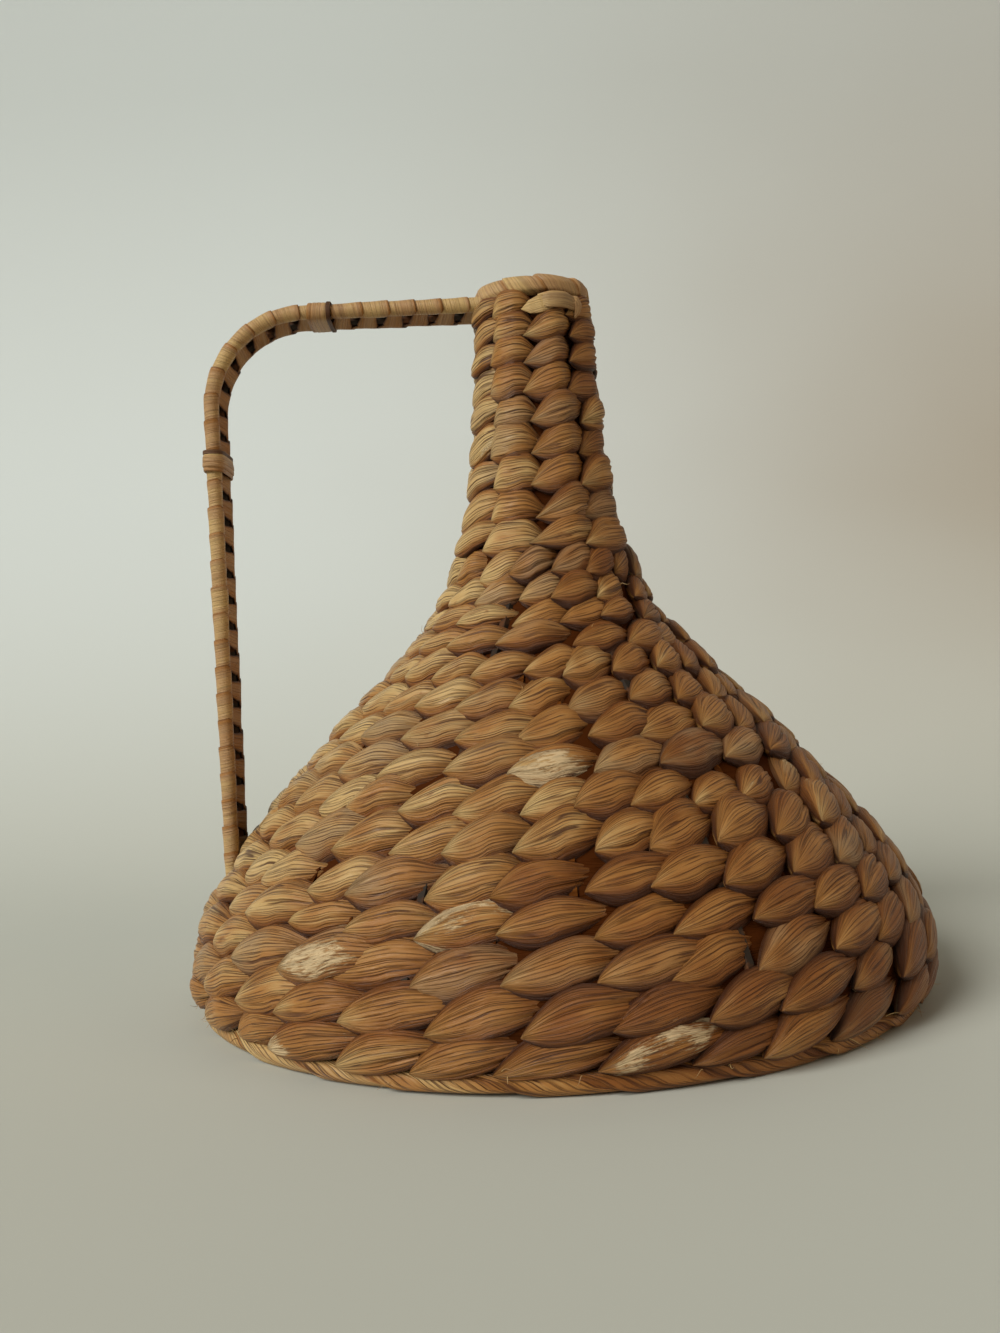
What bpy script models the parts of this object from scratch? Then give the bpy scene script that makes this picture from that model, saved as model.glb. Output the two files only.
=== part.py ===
"""Twined leaf flask on a wire frame, with a narrow mouth and one square side handle.

Metres, +Z up. The origin is on the floor, on the axis of the foot ring. The handle reaches towards -X.
Welded wires (three hoops, eight uprights, two base crossbars and a two-wire handle) and leaf stakes carry
the twined wall and base, and leaf strips are wrapped round both rims and round the handle.
"""

import math

import bmesh
import bpy
import numpy as np
from mathutils import Matrix

# Sizes of the whole flask, measured over the crowns of the courses
FOOT_RADIUS = 0.1000
SHOULDER_RADIUS = 0.0250
MOUTH_RADIUS = 0.0170
SHOULDER_HEIGHT = 0.1190
NECK_HEIGHT = 0.0680

# The twined wall
WALL = 0.0075
COURSE_GROOVE = 0.0012
FIT_GAP = 0.00035

# The wires of the frame
FRAME_WIRE_RADIUS = 0.0015
SHOULDER_WIRE_RADIUS = 0.0012
CROSSBAR_RADIUS = 0.0012
HANDLE_WIRE_RADIUS = 0.0013
UPRIGHTS = 8
FIRST_UPRIGHT_ANGLE = math.radians(22.5)

# The leaf stakes: a medium one, a long one up to the shoulder and a short one in each bay between uprights
STAKE_RADIUS = 0.0013
MEDIUM_STAKE_HEIGHT = 0.0920
SHORT_STAKE_HEIGHT = 0.0620

# The rims
FOOT_BORDER_HEIGHT = 0.0050
FOOT_BORDER_BEVEL = 0.0013
MOUTH_BORDER_RADIUS = 0.0027

# The twined base
BASE_LIFT = 0.0030
BASE_THICKNESS = 0.0078
BASE_GROOVE = 0.0008
BASE_COURSES = 10
CROSSBAR_ANGLE = math.radians(17)
HUMP_HALF_LENGTH = 0.0060
HUMP_RAMP = 0.0070

# The handle
HANDLE_REACH = 0.0895
HANDLE_DROP = 0.0024
HANDLE_WIRE_SPACING = 0.0112
HANDLE_BEND_RADIUS = 0.0260
HANDLE_BEAD_RADIUS = 0.0023
HANDLE_WEB_HALF = 0.0012
BINDING_LENGTH = 0.0060
BINDING_SWELL = 0.0004
TOP_BINDING_REACH = 0.0590
SIDE_BINDING_DROP = 0.0400

# The strip tied round the neck under the mouth
TIE_WIDTH = 0.0050
TIE_THICKNESS = 0.0012
TIE_DROP = 0.0005
TIE_START = math.radians(-100)
TIE_SWEEP = math.radians(58)

# Facets
BODY_STEPS = 36
NECK_STEPS = 24
TIE_STEPS = 6
WIRE_SIDES = 6
STAKE_SIDES = 4
BEAD_SIDES = 8
BEND_STEPS = 6
UPRIGHT_POINTS = 19
STAKE_POINTS = 12
HANDLE_FOOT_POINTS = 4
INNER_POINTS = 9
ENVELOPE_POINTS = 17
OUTLINE_STEPS = 24
SMOOTH_ANGLE = math.radians(35)

# The outline over the crowns, from the floor up: shares of the height and of the step in radius
BODY_OUTLINE_SHARES = (
    (0.000, 0.947),
    (0.050, 0.993),
    (0.129, 1.000),
    (0.241, 0.940),
    (0.402, 0.763),
    (0.563, 0.540),
    (0.723, 0.292),
    (0.885, 0.072),
    (1.000, 0.000),
)
NECK_OUTLINE_SHARES = (
    (0.227, 0.560),
    (0.515, 0.360),
    (0.803, 0.090),
    (1.000, 0.000),
)

# Heights of the courses from the lowest up, as shares of each other
BODY_COURSE_SHARES = (
    *(0.98, 1.04, 1.09, 0.97, 1.08),
    *(1.12, 1.17, 1.09, 1.08, 1.10),
    *(1.05, 0.85, 0.77, 0.73, 0.87),
)
NECK_COURSE_SHARES = (0.97, 1.12, 1.14, 1.15, 1.04, 1.01, 0.95, 0.83, 0.79)

LEAF_COLOUR = (0.47, 0.30, 0.13)
PALE_LEAF_COLOUR = (0.52, 0.36, 0.19)
DARK_LEAF_COLOUR = (0.30, 0.17, 0.08)
WIRE_COLOUR = (0.10, 0.09, 0.08)

# Sizes that follow from those above
HALF_WALL = WALL / 2
CHANNEL_RADIUS = FRAME_WIRE_RADIUS + FIT_GAP
MOUTH_HEIGHT = SHOULDER_HEIGHT + NECK_HEIGHT
MOUTH_HOOP_RADIUS = MOUTH_RADIUS - HALF_WALL
MOUTH_HOOP_HEIGHT = MOUTH_HEIGHT + FIT_GAP + MOUTH_BORDER_RADIUS
FOOT_HOOP_HEIGHT = FOOT_BORDER_HEIGHT / 2
HANDLE_LEVEL = MOUTH_HOOP_HEIGHT - HANDLE_DROP
BODY_BOTTOM = FOOT_BORDER_HEIGHT + FIT_GAP
CROSSBAR_HEIGHT = FOOT_HOOP_HEIGHT + CHANNEL_RADIUS + CROSSBAR_RADIUS
HUMP_HEIGHT = CROSSBAR_HEIGHT + 2 * CROSSBAR_RADIUS + FIT_GAP
SHOULDER_WIRE_DEPTH = HALF_WALL + CHANNEL_RADIUS + SHOULDER_WIRE_RADIUS


def smooth_curve(knots, steps):
    """A smooth curve through the knots, as an array of points."""
    knots = np.array(knots)
    ends = (2 * knots[0] - knots[1], 2 * knots[-1] - knots[-2])
    padded = np.vstack([ends[0], knots, ends[1]])
    shares = np.arange(steps)[:, None] / steps
    stretches = []
    for before, start, end, after in zip(padded, padded[1:], padded[2:], padded[3:]):
        stretches.append(
            start
            + shares * (end - before) / 2
            + shares**2 * (before - 2.5 * start + 2 * end - after / 2)
            + shares**3 * (3 * start - 3 * end + after - before) / 2
        )
    return np.vstack([*stretches, knots[-1]])


class Wall:
    """The wall's section: a place on it is a length along the outline and a depth below the crowns."""

    def __init__(self):
        body_step = FOOT_RADIUS - SHOULDER_RADIUS
        neck_step = SHOULDER_RADIUS - MOUTH_RADIUS
        body = [
            (SHOULDER_RADIUS + out * body_step, up * SHOULDER_HEIGHT) for up, out in BODY_OUTLINE_SHARES
        ]
        neck = [
            (MOUTH_RADIUS + out * neck_step, SHOULDER_HEIGHT + up * NECK_HEIGHT)
            for up, out in NECK_OUTLINE_SHARES
        ]
        self.crowns = smooth_curve(body + neck, OUTLINE_STEPS)
        steps = np.linalg.norm(np.diff(self.crowns, axis=0), axis=1)
        self.lengths = np.concatenate([[0], np.cumsum(steps)])
        tangents = np.gradient(self.crowns, self.lengths, axis=0)
        tangents /= np.linalg.norm(tangents, axis=1)[:, None]
        self.inward = np.stack([-tangents[:, 1], tangents[:, 0]], axis=1)

    def line(self, depth):
        """The line at that depth, as an array of (radius, height) points."""
        return self.crowns + self.inward * depth

    def at(self, length, depth=0.0):
        """The (radius, height) of a place on the wall."""
        radii, heights = self.line(depth).T
        return np.interp(length, self.lengths, radii), np.interp(length, self.lengths, heights)

    def length_at_height(self, height, depth=0.0):
        """Where the line at that depth is that high."""
        return np.interp(height, self.line(depth)[:, 1], self.lengths)

    def length_at_radius(self, radius, depth=0.0):
        """Where the line at that depth, above its widest place, has that radius."""
        radii = self.line(depth)[:, 0]
        widest = int(np.argmax(radii))
        return np.interp(-radius, -radii[widest:], self.lengths[widest:])


def material(name, colour, roughness, metallic=0.0):
    """A plain material with one colour."""
    made = bpy.data.materials.new(name)
    made.use_nodes = True
    shader = made.node_tree.nodes["Principled BSDF"]
    shader.inputs["Base Color"].default_value = (*colour, 1)
    shader.inputs["Roughness"].default_value = roughness
    shader.inputs["Metallic"].default_value = metallic
    return made


def finished(name, shape, finish=None):
    """Turns the drawn shape into a named object. A shape without a finish is a cutter."""
    bmesh.ops.recalc_face_normals(shape, faces=shape.faces[:])
    mesh = bpy.data.meshes.new(name)
    shape.to_mesh(mesh)
    shape.free()
    mesh.shade_smooth()
    mesh.set_sharp_from_angle(angle=SMOOTH_ANGLE)
    made = bpy.data.objects.new(name, mesh)
    bpy.context.scene.collection.objects.link(made)
    if finish:
        mesh.materials.append(finish)
    else:
        made.hide_render = True
        made.display_type = "WIRE"
    return made


def cut(body, tools):
    """Takes each tool out of the body."""
    for tool in tools:
        step = body.modifiers.new(f"room for {tool.name}", "BOOLEAN")
        step.operation = "DIFFERENCE"
        step.solver = "EXACT"
        step.object = tool


def disc_outline(radius, sides):
    """A regular polygon round zero, with a flat side below."""
    angles = (np.arange(sides) + 0.5) * 2 * math.pi / sides
    return [(radius * math.sin(angle), -radius * math.cos(angle)) for angle in angles]


def turned(name, outline, steps, finish=None, angle=2 * math.pi, start=0.0):
    """A closed outline of (radius, height) points, turned about the axis."""
    shape = bmesh.new()
    ring = [shape.verts.new((radius, 0, height)) for radius, height in outline]
    edges = [shape.edges.new((a, b)) for a, b in zip(ring, ring[1:] + ring[:1])]
    bmesh.ops.rotate(shape, verts=ring, cent=(0, 0, 0), matrix=Matrix.Rotation(start, 3, "Z"))
    whole = math.isclose(angle, 2 * math.pi)
    bmesh.ops.spin(
        shape, geom=ring + edges, cent=(0, 0, 0), axis=(0, 0, 1), angle=angle, steps=steps, use_merge=whole
    )
    if not whole:
        bmesh.ops.holes_fill(shape, edges=shape.edges[:], sides=len(outline))
    return finished(name, shape, finish)


def turned_disc(name, outline, steps, finish=None):
    """An outline of (radius, height) points from one place on the axis to another, turned about it."""
    shape = bmesh.new()
    chain = [shape.verts.new((radius, 0, height)) for radius, height in outline]
    edges = [shape.edges.new((a, b)) for a, b in zip(chain, chain[1:])]
    parts = chain + edges
    bmesh.ops.spin(
        shape, geom=parts, cent=(0, 0, 0), axis=(0, 0, 1), angle=2 * math.pi, steps=steps, use_merge=True
    )
    bmesh.ops.remove_doubles(shape, verts=shape.verts[:], dist=FIT_GAP / 10)
    return finished(name, shape, finish)


def swept(name, path, section, finish=None, angle=0.0, aside=0.0):
    """A section of (across, out) points along a path of (reach, height) points in an upright plane.

    The plane is turned by the angle about the axis, and stands aside from it.
    """
    path = np.array(path)
    before = np.diff(path, axis=0)
    before /= np.linalg.norm(before, axis=1)[:, None]
    bisector = np.vstack([before[0], before[1:] + before[:-1], before[-1]])
    bisector /= np.linalg.norm(bisector, axis=1)[:, None]
    mitre = np.concatenate([[1], np.sum(bisector[1:-1] * before[1:], axis=1), [1]])
    outward = np.stack([-bisector[:, 1], bisector[:, 0]], axis=1) / mitre[:, None]
    shape = bmesh.new()
    rings = []
    for (reach, height), (lean, lift) in zip(path, outward):
        corners = [(reach + out * lean, across + aside, height + out * lift) for across, out in section]
        rings.append([shape.verts.new(corner) for corner in corners])
    shape.faces.new(rings[0])
    shape.faces.new(rings[-1][::-1])
    for low, high in zip(rings, rings[1:]):
        for a, b, c, d in zip(low, low[1:] + low[:1], high[1:] + high[:1], high):
            shape.faces.new((a, b, c, d))
    bmesh.ops.rotate(shape, verts=shape.verts[:], cent=(0, 0, 0), matrix=Matrix.Rotation(angle, 3, "Z"))
    return finished(name, shape, finish)


def lengthened(path):
    """The path with both ends carried on in a straight line by the fit gap."""
    path = [np.array(place) for place in path]
    for end, neighbour in ((0, 1), (-1, -2)):
        onward = path[end] - path[neighbour]
        path[end] = path[end] + FIT_GAP * onward / np.linalg.norm(onward)
    return path


def rod(name, path, radius, sides, finish, angle=0.0, aside=0.0):
    """A rod along the path. Returns the cutter that makes room for it in what it passes through."""
    swept(name, path, disc_outline(radius, sides), finish, angle, aside)
    room = disc_outline(radius + FIT_GAP, sides)
    return swept(f"{name}_room", lengthened(path), room, angle=angle, aside=aside)


def hoop(name, place, radius, steps, finish):
    """A wire ring at that (radius, height). Returns the cutter that makes room for it."""
    sections = [
        [(place[0] + x, place[1] + y) for x, y in disc_outline(size, WIRE_SIDES)]
        for size in (radius, radius + FIT_GAP)
    ]
    turned(name, sections[0], steps, finish)
    return turned(f"{name}_room", sections[1], steps)


def foot_wall(wall):
    """The radius of the wall's middle at the foot hoop."""
    return wall.at(wall.length_at_height(FOOT_HOOP_HEIGHT, HALF_WALL), HALF_WALL)[0]


def wire_foot(wall):
    """Where on the wall the wires end that come down to the foot hoop."""
    return wall.length_at_height(FOOT_HOOP_HEIGHT, HALF_WALL) + CHANNEL_RADIUS


def add_hoops(wall, steel):
    """The three wire rings. Returns their rooms: mouth, shoulder and foot."""
    shoulder = wall.at(wall.length_at_height(SHOULDER_HEIGHT), SHOULDER_WIRE_DEPTH)
    return (
        hoop("mouth_hoop", (MOUTH_HOOP_RADIUS, MOUTH_HOOP_HEIGHT), FRAME_WIRE_RADIUS, NECK_STEPS, steel),
        hoop("shoulder_hoop", shoulder, SHOULDER_WIRE_RADIUS, NECK_STEPS, steel),
        hoop("foot_hoop", (foot_wall(wall), FOOT_HOOP_HEIGHT), FRAME_WIRE_RADIUS, BODY_STEPS, steel),
    )


def bay_angle(bays):
    """The angle about the axis that lies that many bays on from the first upright."""
    return FIRST_UPRIGHT_ANGLE + 2 * math.pi * bays / UPRIGHTS


def add_uprights(wall, steel):
    """The wires from the foot hoop to the mouth hoop, in the middle of the wall. Returns their rooms."""
    foot = wire_foot(wall)
    path = [wall.at(length, HALF_WALL) for length in np.linspace(foot, wall.lengths[-1], UPRIGHT_POINTS)]
    path.append((MOUTH_HOOP_RADIUS, MOUTH_HOOP_HEIGHT - CHANNEL_RADIUS))
    return [
        rod(f"upright_{i + 1}", path, FRAME_WIRE_RADIUS, WIRE_SIDES, steel, bay_angle(i))
        for i in range(UPRIGHTS)
    ]


def add_stakes(wall, leaf):
    """The leaf stakes in each bay between two uprights, of three lengths. Returns their rooms."""
    foot = wall.length_at_height(BODY_BOTTOM + FIT_GAP, HALF_WALL)
    heights = (MEDIUM_STAKE_HEIGHT, SHOULDER_HEIGHT - SHOULDER_WIRE_DEPTH, SHORT_STAKE_HEIGHT)
    rooms = []
    for bay in range(UPRIGHTS):
        for i, height in enumerate(heights):
            top = wall.length_at_height(height, HALF_WALL)
            path = [wall.at(length, HALF_WALL) for length in np.linspace(foot, top, STAKE_POINTS)]
            angle = bay_angle(bay + (i + 1) / (len(heights) + 1))
            name = f"stake_{bay * len(heights) + i + 1:02d}"
            rooms.append(rod(name, path, STAKE_RADIUS, STAKE_SIDES, leaf, angle))
    return rooms


def add_crossbars(wall, steel):
    """Two bars across the foot hoop. One humps over the other. Returns their rooms."""
    end = foot_wall(wall)
    ramp_end = HUMP_HALF_LENGTH + HUMP_RAMP
    flat = [(-end, CROSSBAR_HEIGHT), (end, CROSSBAR_HEIGHT)]
    hump = [
        (-ramp_end, CROSSBAR_HEIGHT),
        (-HUMP_HALF_LENGTH, HUMP_HEIGHT),
        (HUMP_HALF_LENGTH, HUMP_HEIGHT),
        (ramp_end, CROSSBAR_HEIGHT),
    ]
    humped = [flat[0], *hump, flat[1]]
    across = CROSSBAR_ANGLE + math.pi / 2
    return [
        rod("crossbar_flat", flat, CROSSBAR_RADIUS, WIRE_SIDES, steel, CROSSBAR_ANGLE),
        rod("crossbar_humped", humped, CROSSBAR_RADIUS, WIRE_SIDES, steel, across),
    ]


def handle_bend():
    """The round corner of the handle, from its level arm to its drop."""
    centre = np.array((HANDLE_BEND_RADIUS - HANDLE_REACH, HANDLE_LEVEL - HANDLE_BEND_RADIUS))
    angles = math.pi / 2 * (1 + np.arange(BEND_STEPS + 1) / BEND_STEPS)
    return [centre + HANDLE_BEND_RADIUS * np.array((math.cos(a), math.sin(a))) for a in angles]


def add_handle_wires(wall, steel):
    """Both handle wires, from the mouth hoop round the bend and down the wall. Returns their rooms."""
    half = HANDLE_WIRE_SPACING / 2
    start = -math.sqrt((MOUTH_HOOP_RADIUS + CHANNEL_RADIUS) ** 2 - (half - HANDLE_WIRE_RADIUS) ** 2)
    entry = wall.length_at_radius(HANDLE_REACH, HALF_WALL)
    foot = wire_foot(wall)
    path = [(start, HANDLE_LEVEL), *handle_bend()]
    for length in np.linspace(entry, foot, HANDLE_FOOT_POINTS):
        radius, height = wall.at(length, HALF_WALL)
        path.append((-math.sqrt(radius**2 - half**2), height))
    return [
        rod("handle_wire_front", path, HANDLE_WIRE_RADIUS, WIRE_SIDES, steel, aside=-half),
        rod("handle_wire_rear", path, HANDLE_WIRE_RADIUS, WIRE_SIDES, steel, aside=half),
    ]


def ribbed_wall(wall, edges):
    """The closed outline of a stretch of wall: a rib for each course outside, plain inside."""
    outline = []
    for low, high in zip(edges, edges[1:]):
        outline += [wall.at(low, COURSE_GROOVE), wall.at((low + high) / 2)]
    outline.append(wall.at(edges[-1], COURSE_GROOVE))
    return outline + [wall.at(length, WALL) for length in np.linspace(edges[-1], edges[0], INNER_POINTS)]


def course_edges(start, end, shares):
    """The lengths at which the courses between start and end begin and end."""
    return start + (end - start) * np.concatenate([[0], np.cumsum(shares)]) / np.sum(shares)


def add_wall_weave(wall, rooms, shoulder_room, leaf):
    """The twined wall: one weave on the body, another on the neck."""
    shoulder = wall.length_at_height(SHOULDER_HEIGHT)
    bottom = wall.length_at_height(BODY_BOTTOM)
    body_edges = course_edges(bottom, shoulder - FIT_GAP, BODY_COURSE_SHARES)
    body = turned("body_weave", ribbed_wall(wall, body_edges), BODY_STEPS, leaf)
    cut(body, [*rooms["uprights"], *rooms["stakes"], *rooms["handle"], *rooms["crossbars"], shoulder_room])
    neck_edges = course_edges(shoulder, wall.lengths[-1], NECK_COURSE_SHARES)
    neck = turned("neck_weave", ribbed_wall(wall, neck_edges), NECK_STEPS, leaf)
    cut(neck, [*rooms["uprights"], *rooms["handle"], shoulder_room])


def add_base_weave(wall, rooms, leaf):
    """The twined base, carried by the crossbars inside the foot border."""
    radius = foot_wall(wall) - HALF_WALL - FIT_GAP
    top = BASE_LIFT + BASE_THICKNESS
    pitch = radius / BASE_COURSES
    outline = [(0, BASE_LIFT)]
    for i in range(BASE_COURSES):
        outline += [(pitch * (i + 0.5), BASE_LIFT), (pitch * (i + 1), BASE_LIFT + BASE_GROOVE)]
    outline += [(radius, top - BASE_GROOVE), (radius - BASE_GROOVE, top), (0, top)]
    cut(turned_disc("base_weave", outline, BODY_STEPS, leaf), rooms["crossbars"])


def add_foot_border(wall, rooms, foot_room, leaf):
    """The leaf wrap round the foot hoop. The flask stands on its flat underside."""
    inner = foot_wall(wall) - HALF_WALL
    top = FOOT_BORDER_HEIGHT
    low = wall.at(wall.length_at_height(FOOT_BORDER_BEVEL))
    high = wall.at(wall.length_at_height(top - FOOT_BORDER_BEVEL))
    outline = [
        (inner + FOOT_BORDER_BEVEL, 0),
        (low[0] - FOOT_BORDER_BEVEL, 0),
        low,
        high,
        (high[0] - FOOT_BORDER_BEVEL, top),
        (inner + FOOT_BORDER_BEVEL, top),
        (inner, top - FOOT_BORDER_BEVEL),
        (inner, FOOT_BORDER_BEVEL),
    ]
    border = turned("foot_border", outline, BODY_STEPS, leaf)
    cut(border, [foot_room, *rooms["uprights"], *rooms["handle"], *rooms["crossbars"]])


def add_mouth_border(rooms, mouth_room, leaf):
    """The leaf wrap round the mouth hoop."""
    section = disc_outline(MOUTH_BORDER_RADIUS, BEAD_SIDES)
    outline = [(MOUTH_HOOP_RADIUS + x, MOUTH_HOOP_HEIGHT + y) for x, y in section]
    border = turned("mouth_border", outline, NECK_STEPS, leaf)
    cut(border, [mouth_room, *rooms["uprights"], *rooms["handle"]])


def add_mouth_tie(wall, leaf):
    """The strip end that is folded over the wall just under the mouth."""
    top = MOUTH_HEIGHT - TIE_DROP
    bottom = top - TIE_WIDTH
    inner = wall.at(wall.length_at_height(bottom))[0] + FIT_GAP
    outer = inner + TIE_THICKNESS
    outline = [(inner, bottom), (outer, bottom), (outer, top), (inner, top)]
    turned("mouth_tie", outline, TIE_STEPS, leaf, TIE_SWEEP, TIE_START)


def wrapped_pair(bead_radius):
    """The section of a strip wound round both handle wires: two beads joined by a web."""
    half = HANDLE_WIRE_SPACING / 2
    reach = math.pi - math.asin(HANDLE_WEB_HALF / bead_radius)
    bead = [
        (half + bead_radius * math.cos(angle), bead_radius * math.sin(angle))
        for angle in np.linspace(-reach, reach, BEAD_SIDES)
    ]
    return bead + [(-across, -out) for across, out in bead]


def add_handle_wraps(wall, rooms, leaf, dark_leaf):
    """Three strips wound round both handle wires, and the two bindings that hold their ends."""
    level = HANDLE_LEVEL
    neck_edge = -(MOUTH_RADIUS + FIT_GAP)
    half = BINDING_LENGTH / 2
    top_binding = [-TOP_BINDING_REACH + half, -TOP_BINDING_REACH - half]
    drop_middle = level - SIDE_BINDING_DROP
    drop_binding = [drop_middle + half, drop_middle - half]
    landing = wall.at(wall.length_at_radius(HANDLE_REACH, HALF_WALL), HALF_WALL)[1]
    strips = {
        "handle_wrap_top": [(neck_edge, level), (top_binding[0], level)],
        "handle_wrap_bend": [
            (top_binding[1] - FIT_GAP, level),
            *handle_bend(),
            (-HANDLE_REACH, drop_binding[0] + FIT_GAP),
        ],
        "handle_wrap_drop": [
            (-HANDLE_REACH, drop_binding[1] - FIT_GAP),
            (-HANDLE_REACH, landing),
        ],
    }
    bindings = {
        "handle_binding_top": [(top_binding[0] - FIT_GAP, level), (top_binding[1], level)],
        "handle_binding_drop": [(-HANDLE_REACH, drop_binding[0]), (-HANDLE_REACH, drop_binding[1])],
    }
    for name, path in strips.items():
        cut(swept(name, path, wrapped_pair(HANDLE_BEAD_RADIUS), leaf), rooms["handle"])
    for name, path in bindings.items():
        cut(swept(name, path, wrapped_pair(HANDLE_BEAD_RADIUS + BINDING_SWELL), dark_leaf), rooms["handle"])
    cut(bpy.data.objects["handle_wrap_drop"], [body_room(wall)])


def body_room(wall):
    """A filled body, larger by the fit gap, which trims what lands on the wall."""
    top = wall.length_at_height(SHOULDER_HEIGHT)
    crowns = [wall.at(length, -FIT_GAP) for length in np.linspace(0, top, ENVELOPE_POINTS)]
    return turned_disc("body_room", [(0, crowns[0][1]), *crowns, (0, crowns[-1][1])], BODY_STEPS)


def main():
    for old in list(bpy.data.objects):
        bpy.data.objects.remove(old)
    leaf = material("dry leaf", LEAF_COLOUR, 0.62)
    pale_leaf = material("pale leaf strip", PALE_LEAF_COLOUR, 0.58)
    dark_leaf = material("dark leaf strip", DARK_LEAF_COLOUR, 0.66)
    steel = material("iron wire", WIRE_COLOUR, 0.45, 1.0)
    wall = Wall()
    mouth_room, shoulder_room, foot_room = add_hoops(wall, steel)
    rooms = {
        "uprights": add_uprights(wall, steel),
        "stakes": add_stakes(wall, leaf),
        "crossbars": add_crossbars(wall, steel),
        "handle": add_handle_wires(wall, steel),
    }
    add_wall_weave(wall, rooms, shoulder_room, leaf)
    add_base_weave(wall, rooms, leaf)
    add_foot_border(wall, rooms, foot_room, pale_leaf)
    add_mouth_border(rooms, mouth_room, pale_leaf)
    add_mouth_tie(wall, pale_leaf)
    add_handle_wraps(wall, rooms, pale_leaf, dark_leaf)


main()
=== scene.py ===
"""Woven leaf flask with a slim neck and one square side handle.

Every strand of the twined wall is a form of its own, laid out on the outline of the fixed model. Metres,
+Z up. The handle points towards -X, and the front looks towards -Y.
"""

import math

import bpy
import numpy as np
from mathutils import Matrix, Vector


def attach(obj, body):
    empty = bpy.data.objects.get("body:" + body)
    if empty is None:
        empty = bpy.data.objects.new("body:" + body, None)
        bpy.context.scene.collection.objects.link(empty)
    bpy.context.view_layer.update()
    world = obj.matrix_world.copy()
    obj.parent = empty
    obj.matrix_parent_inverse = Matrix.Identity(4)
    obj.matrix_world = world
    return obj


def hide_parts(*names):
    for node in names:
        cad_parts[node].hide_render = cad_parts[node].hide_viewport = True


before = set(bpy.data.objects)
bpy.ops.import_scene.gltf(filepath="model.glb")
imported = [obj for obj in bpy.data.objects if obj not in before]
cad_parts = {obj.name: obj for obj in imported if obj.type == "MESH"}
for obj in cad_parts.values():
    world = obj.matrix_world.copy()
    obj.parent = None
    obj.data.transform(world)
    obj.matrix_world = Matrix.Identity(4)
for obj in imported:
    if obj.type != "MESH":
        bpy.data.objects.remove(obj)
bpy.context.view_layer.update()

bl_info = {
    "name": "Woven Leaf Flask",
    "version": (1, 0, 0),
    "blender": (4, 5, 0),
    "location": "3D View > Sidebar > Flask",
    "description": "Weaves a leaf flask over its fixed frame, strand by strand",
    "category": "Add Mesh",
}

FULL_TURN = 2 * math.pi
FRONT = -math.pi / 2
MILLIMETRE = 0.001
NECK_RIDGES = 8
NECK_RIDGE_TURN = FRONT + math.radians(-25)
# Painted shade: the leaf and the strips are drawn darker and browner towards this side, away from the key
# light
SHADED_SIDE = math.radians(-28)

# Lengths that several pieces share
FIT_GAP = 0.00035
FIRST_COURSE_DROP = 0.0016
LAST_COURSE_RISE = 0.0007
LINING_DEPTH = 0.0034
BASE_LINING_DEPTH = 0.0052
LAST_RINGS_INWARD = 0.0002
HANDLE_ROOT_DEPTH = 0.0032
WRAP_REACH = 0.0016
LONG_WRAP_REACH = 0.0022
WRINKLE = 0.00022
HALF_STRIP = 0.00030
HALF_CORD = 0.00028

# Painted shade: the dark tone of the inner lining, which shows in the gaps between the strands
LINING_SHADE_TONE = -0.6
HIDDEN_SHINE = 0.05

# The outline over the crowns, from the floor up: shares of the height and of the step in radius
BODY_OUTLINE_SHARES = (
    (0.000, 0.947),
    (0.050, 0.993),
    (0.129, 1.000),
    (0.241, 0.940),
    (0.402, 0.763),
    (0.563, 0.540),
    (0.723, 0.292),
    (0.885, 0.072),
    (1.000, 0.000),
)
NECK_OUTLINE_SHARES = (
    (0.227, 0.560),
    (0.515, 0.360),
    (0.803, 0.090),
    (1.000, 0.000),
)
OUTLINE_STEPS = 24

# Heights of the courses from the lowest up, as shares of each other
BODY_COURSE_SHARES = (
    *(0.98, 1.04, 1.09, 0.97, 1.08),
    *(1.12, 1.17, 1.09, 1.08, 1.10),
    *(1.05, 0.85, 0.77, 0.73, 0.87),
)
NECK_COURSE_SHARES = (0.97, 1.12, 1.14, 1.15, 1.04, 1.01, 0.95, 0.83, 0.79)

# The strands of the body from the foot up: how many courses, the strands of a round, and a strand's tip in
# degrees from the front
BODY_COUNTS = (
    (7, 32, 1.6),
    (4, 24, 3.4),
    (3, 16, 3.0),
    (1, 16, -0.8),
)

# The columns of the neck: a strand's tip in degrees from the front, where it is tallest as a share of its
# length, where its lower edge begins to rise and how far it rises, how far its upper edge falls, and how
# slowly it widens
NECK_COLUMNS = (
    (-88, 0.58, 0.28, 0.76, 0.02, 1.10),
    (-45, 0.26, 0.50, 0.30, 0.56, 0.60),
    (-10, 0.54, 0.42, 0.56, 0.04, 1.05),
    (32, 0.40, 0.52, 0.50, 0.30, 0.90),
    (80, 0.56, 0.42, 0.55, 0.22, 1.15),
    (125, 0.36, 0.52, 0.50, 0.34, 0.80),
    (170, 0.58, 0.40, 0.60, 0.16, 1.20),
    (215, 0.42, 0.50, 0.50, 0.30, 0.90),
)

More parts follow.
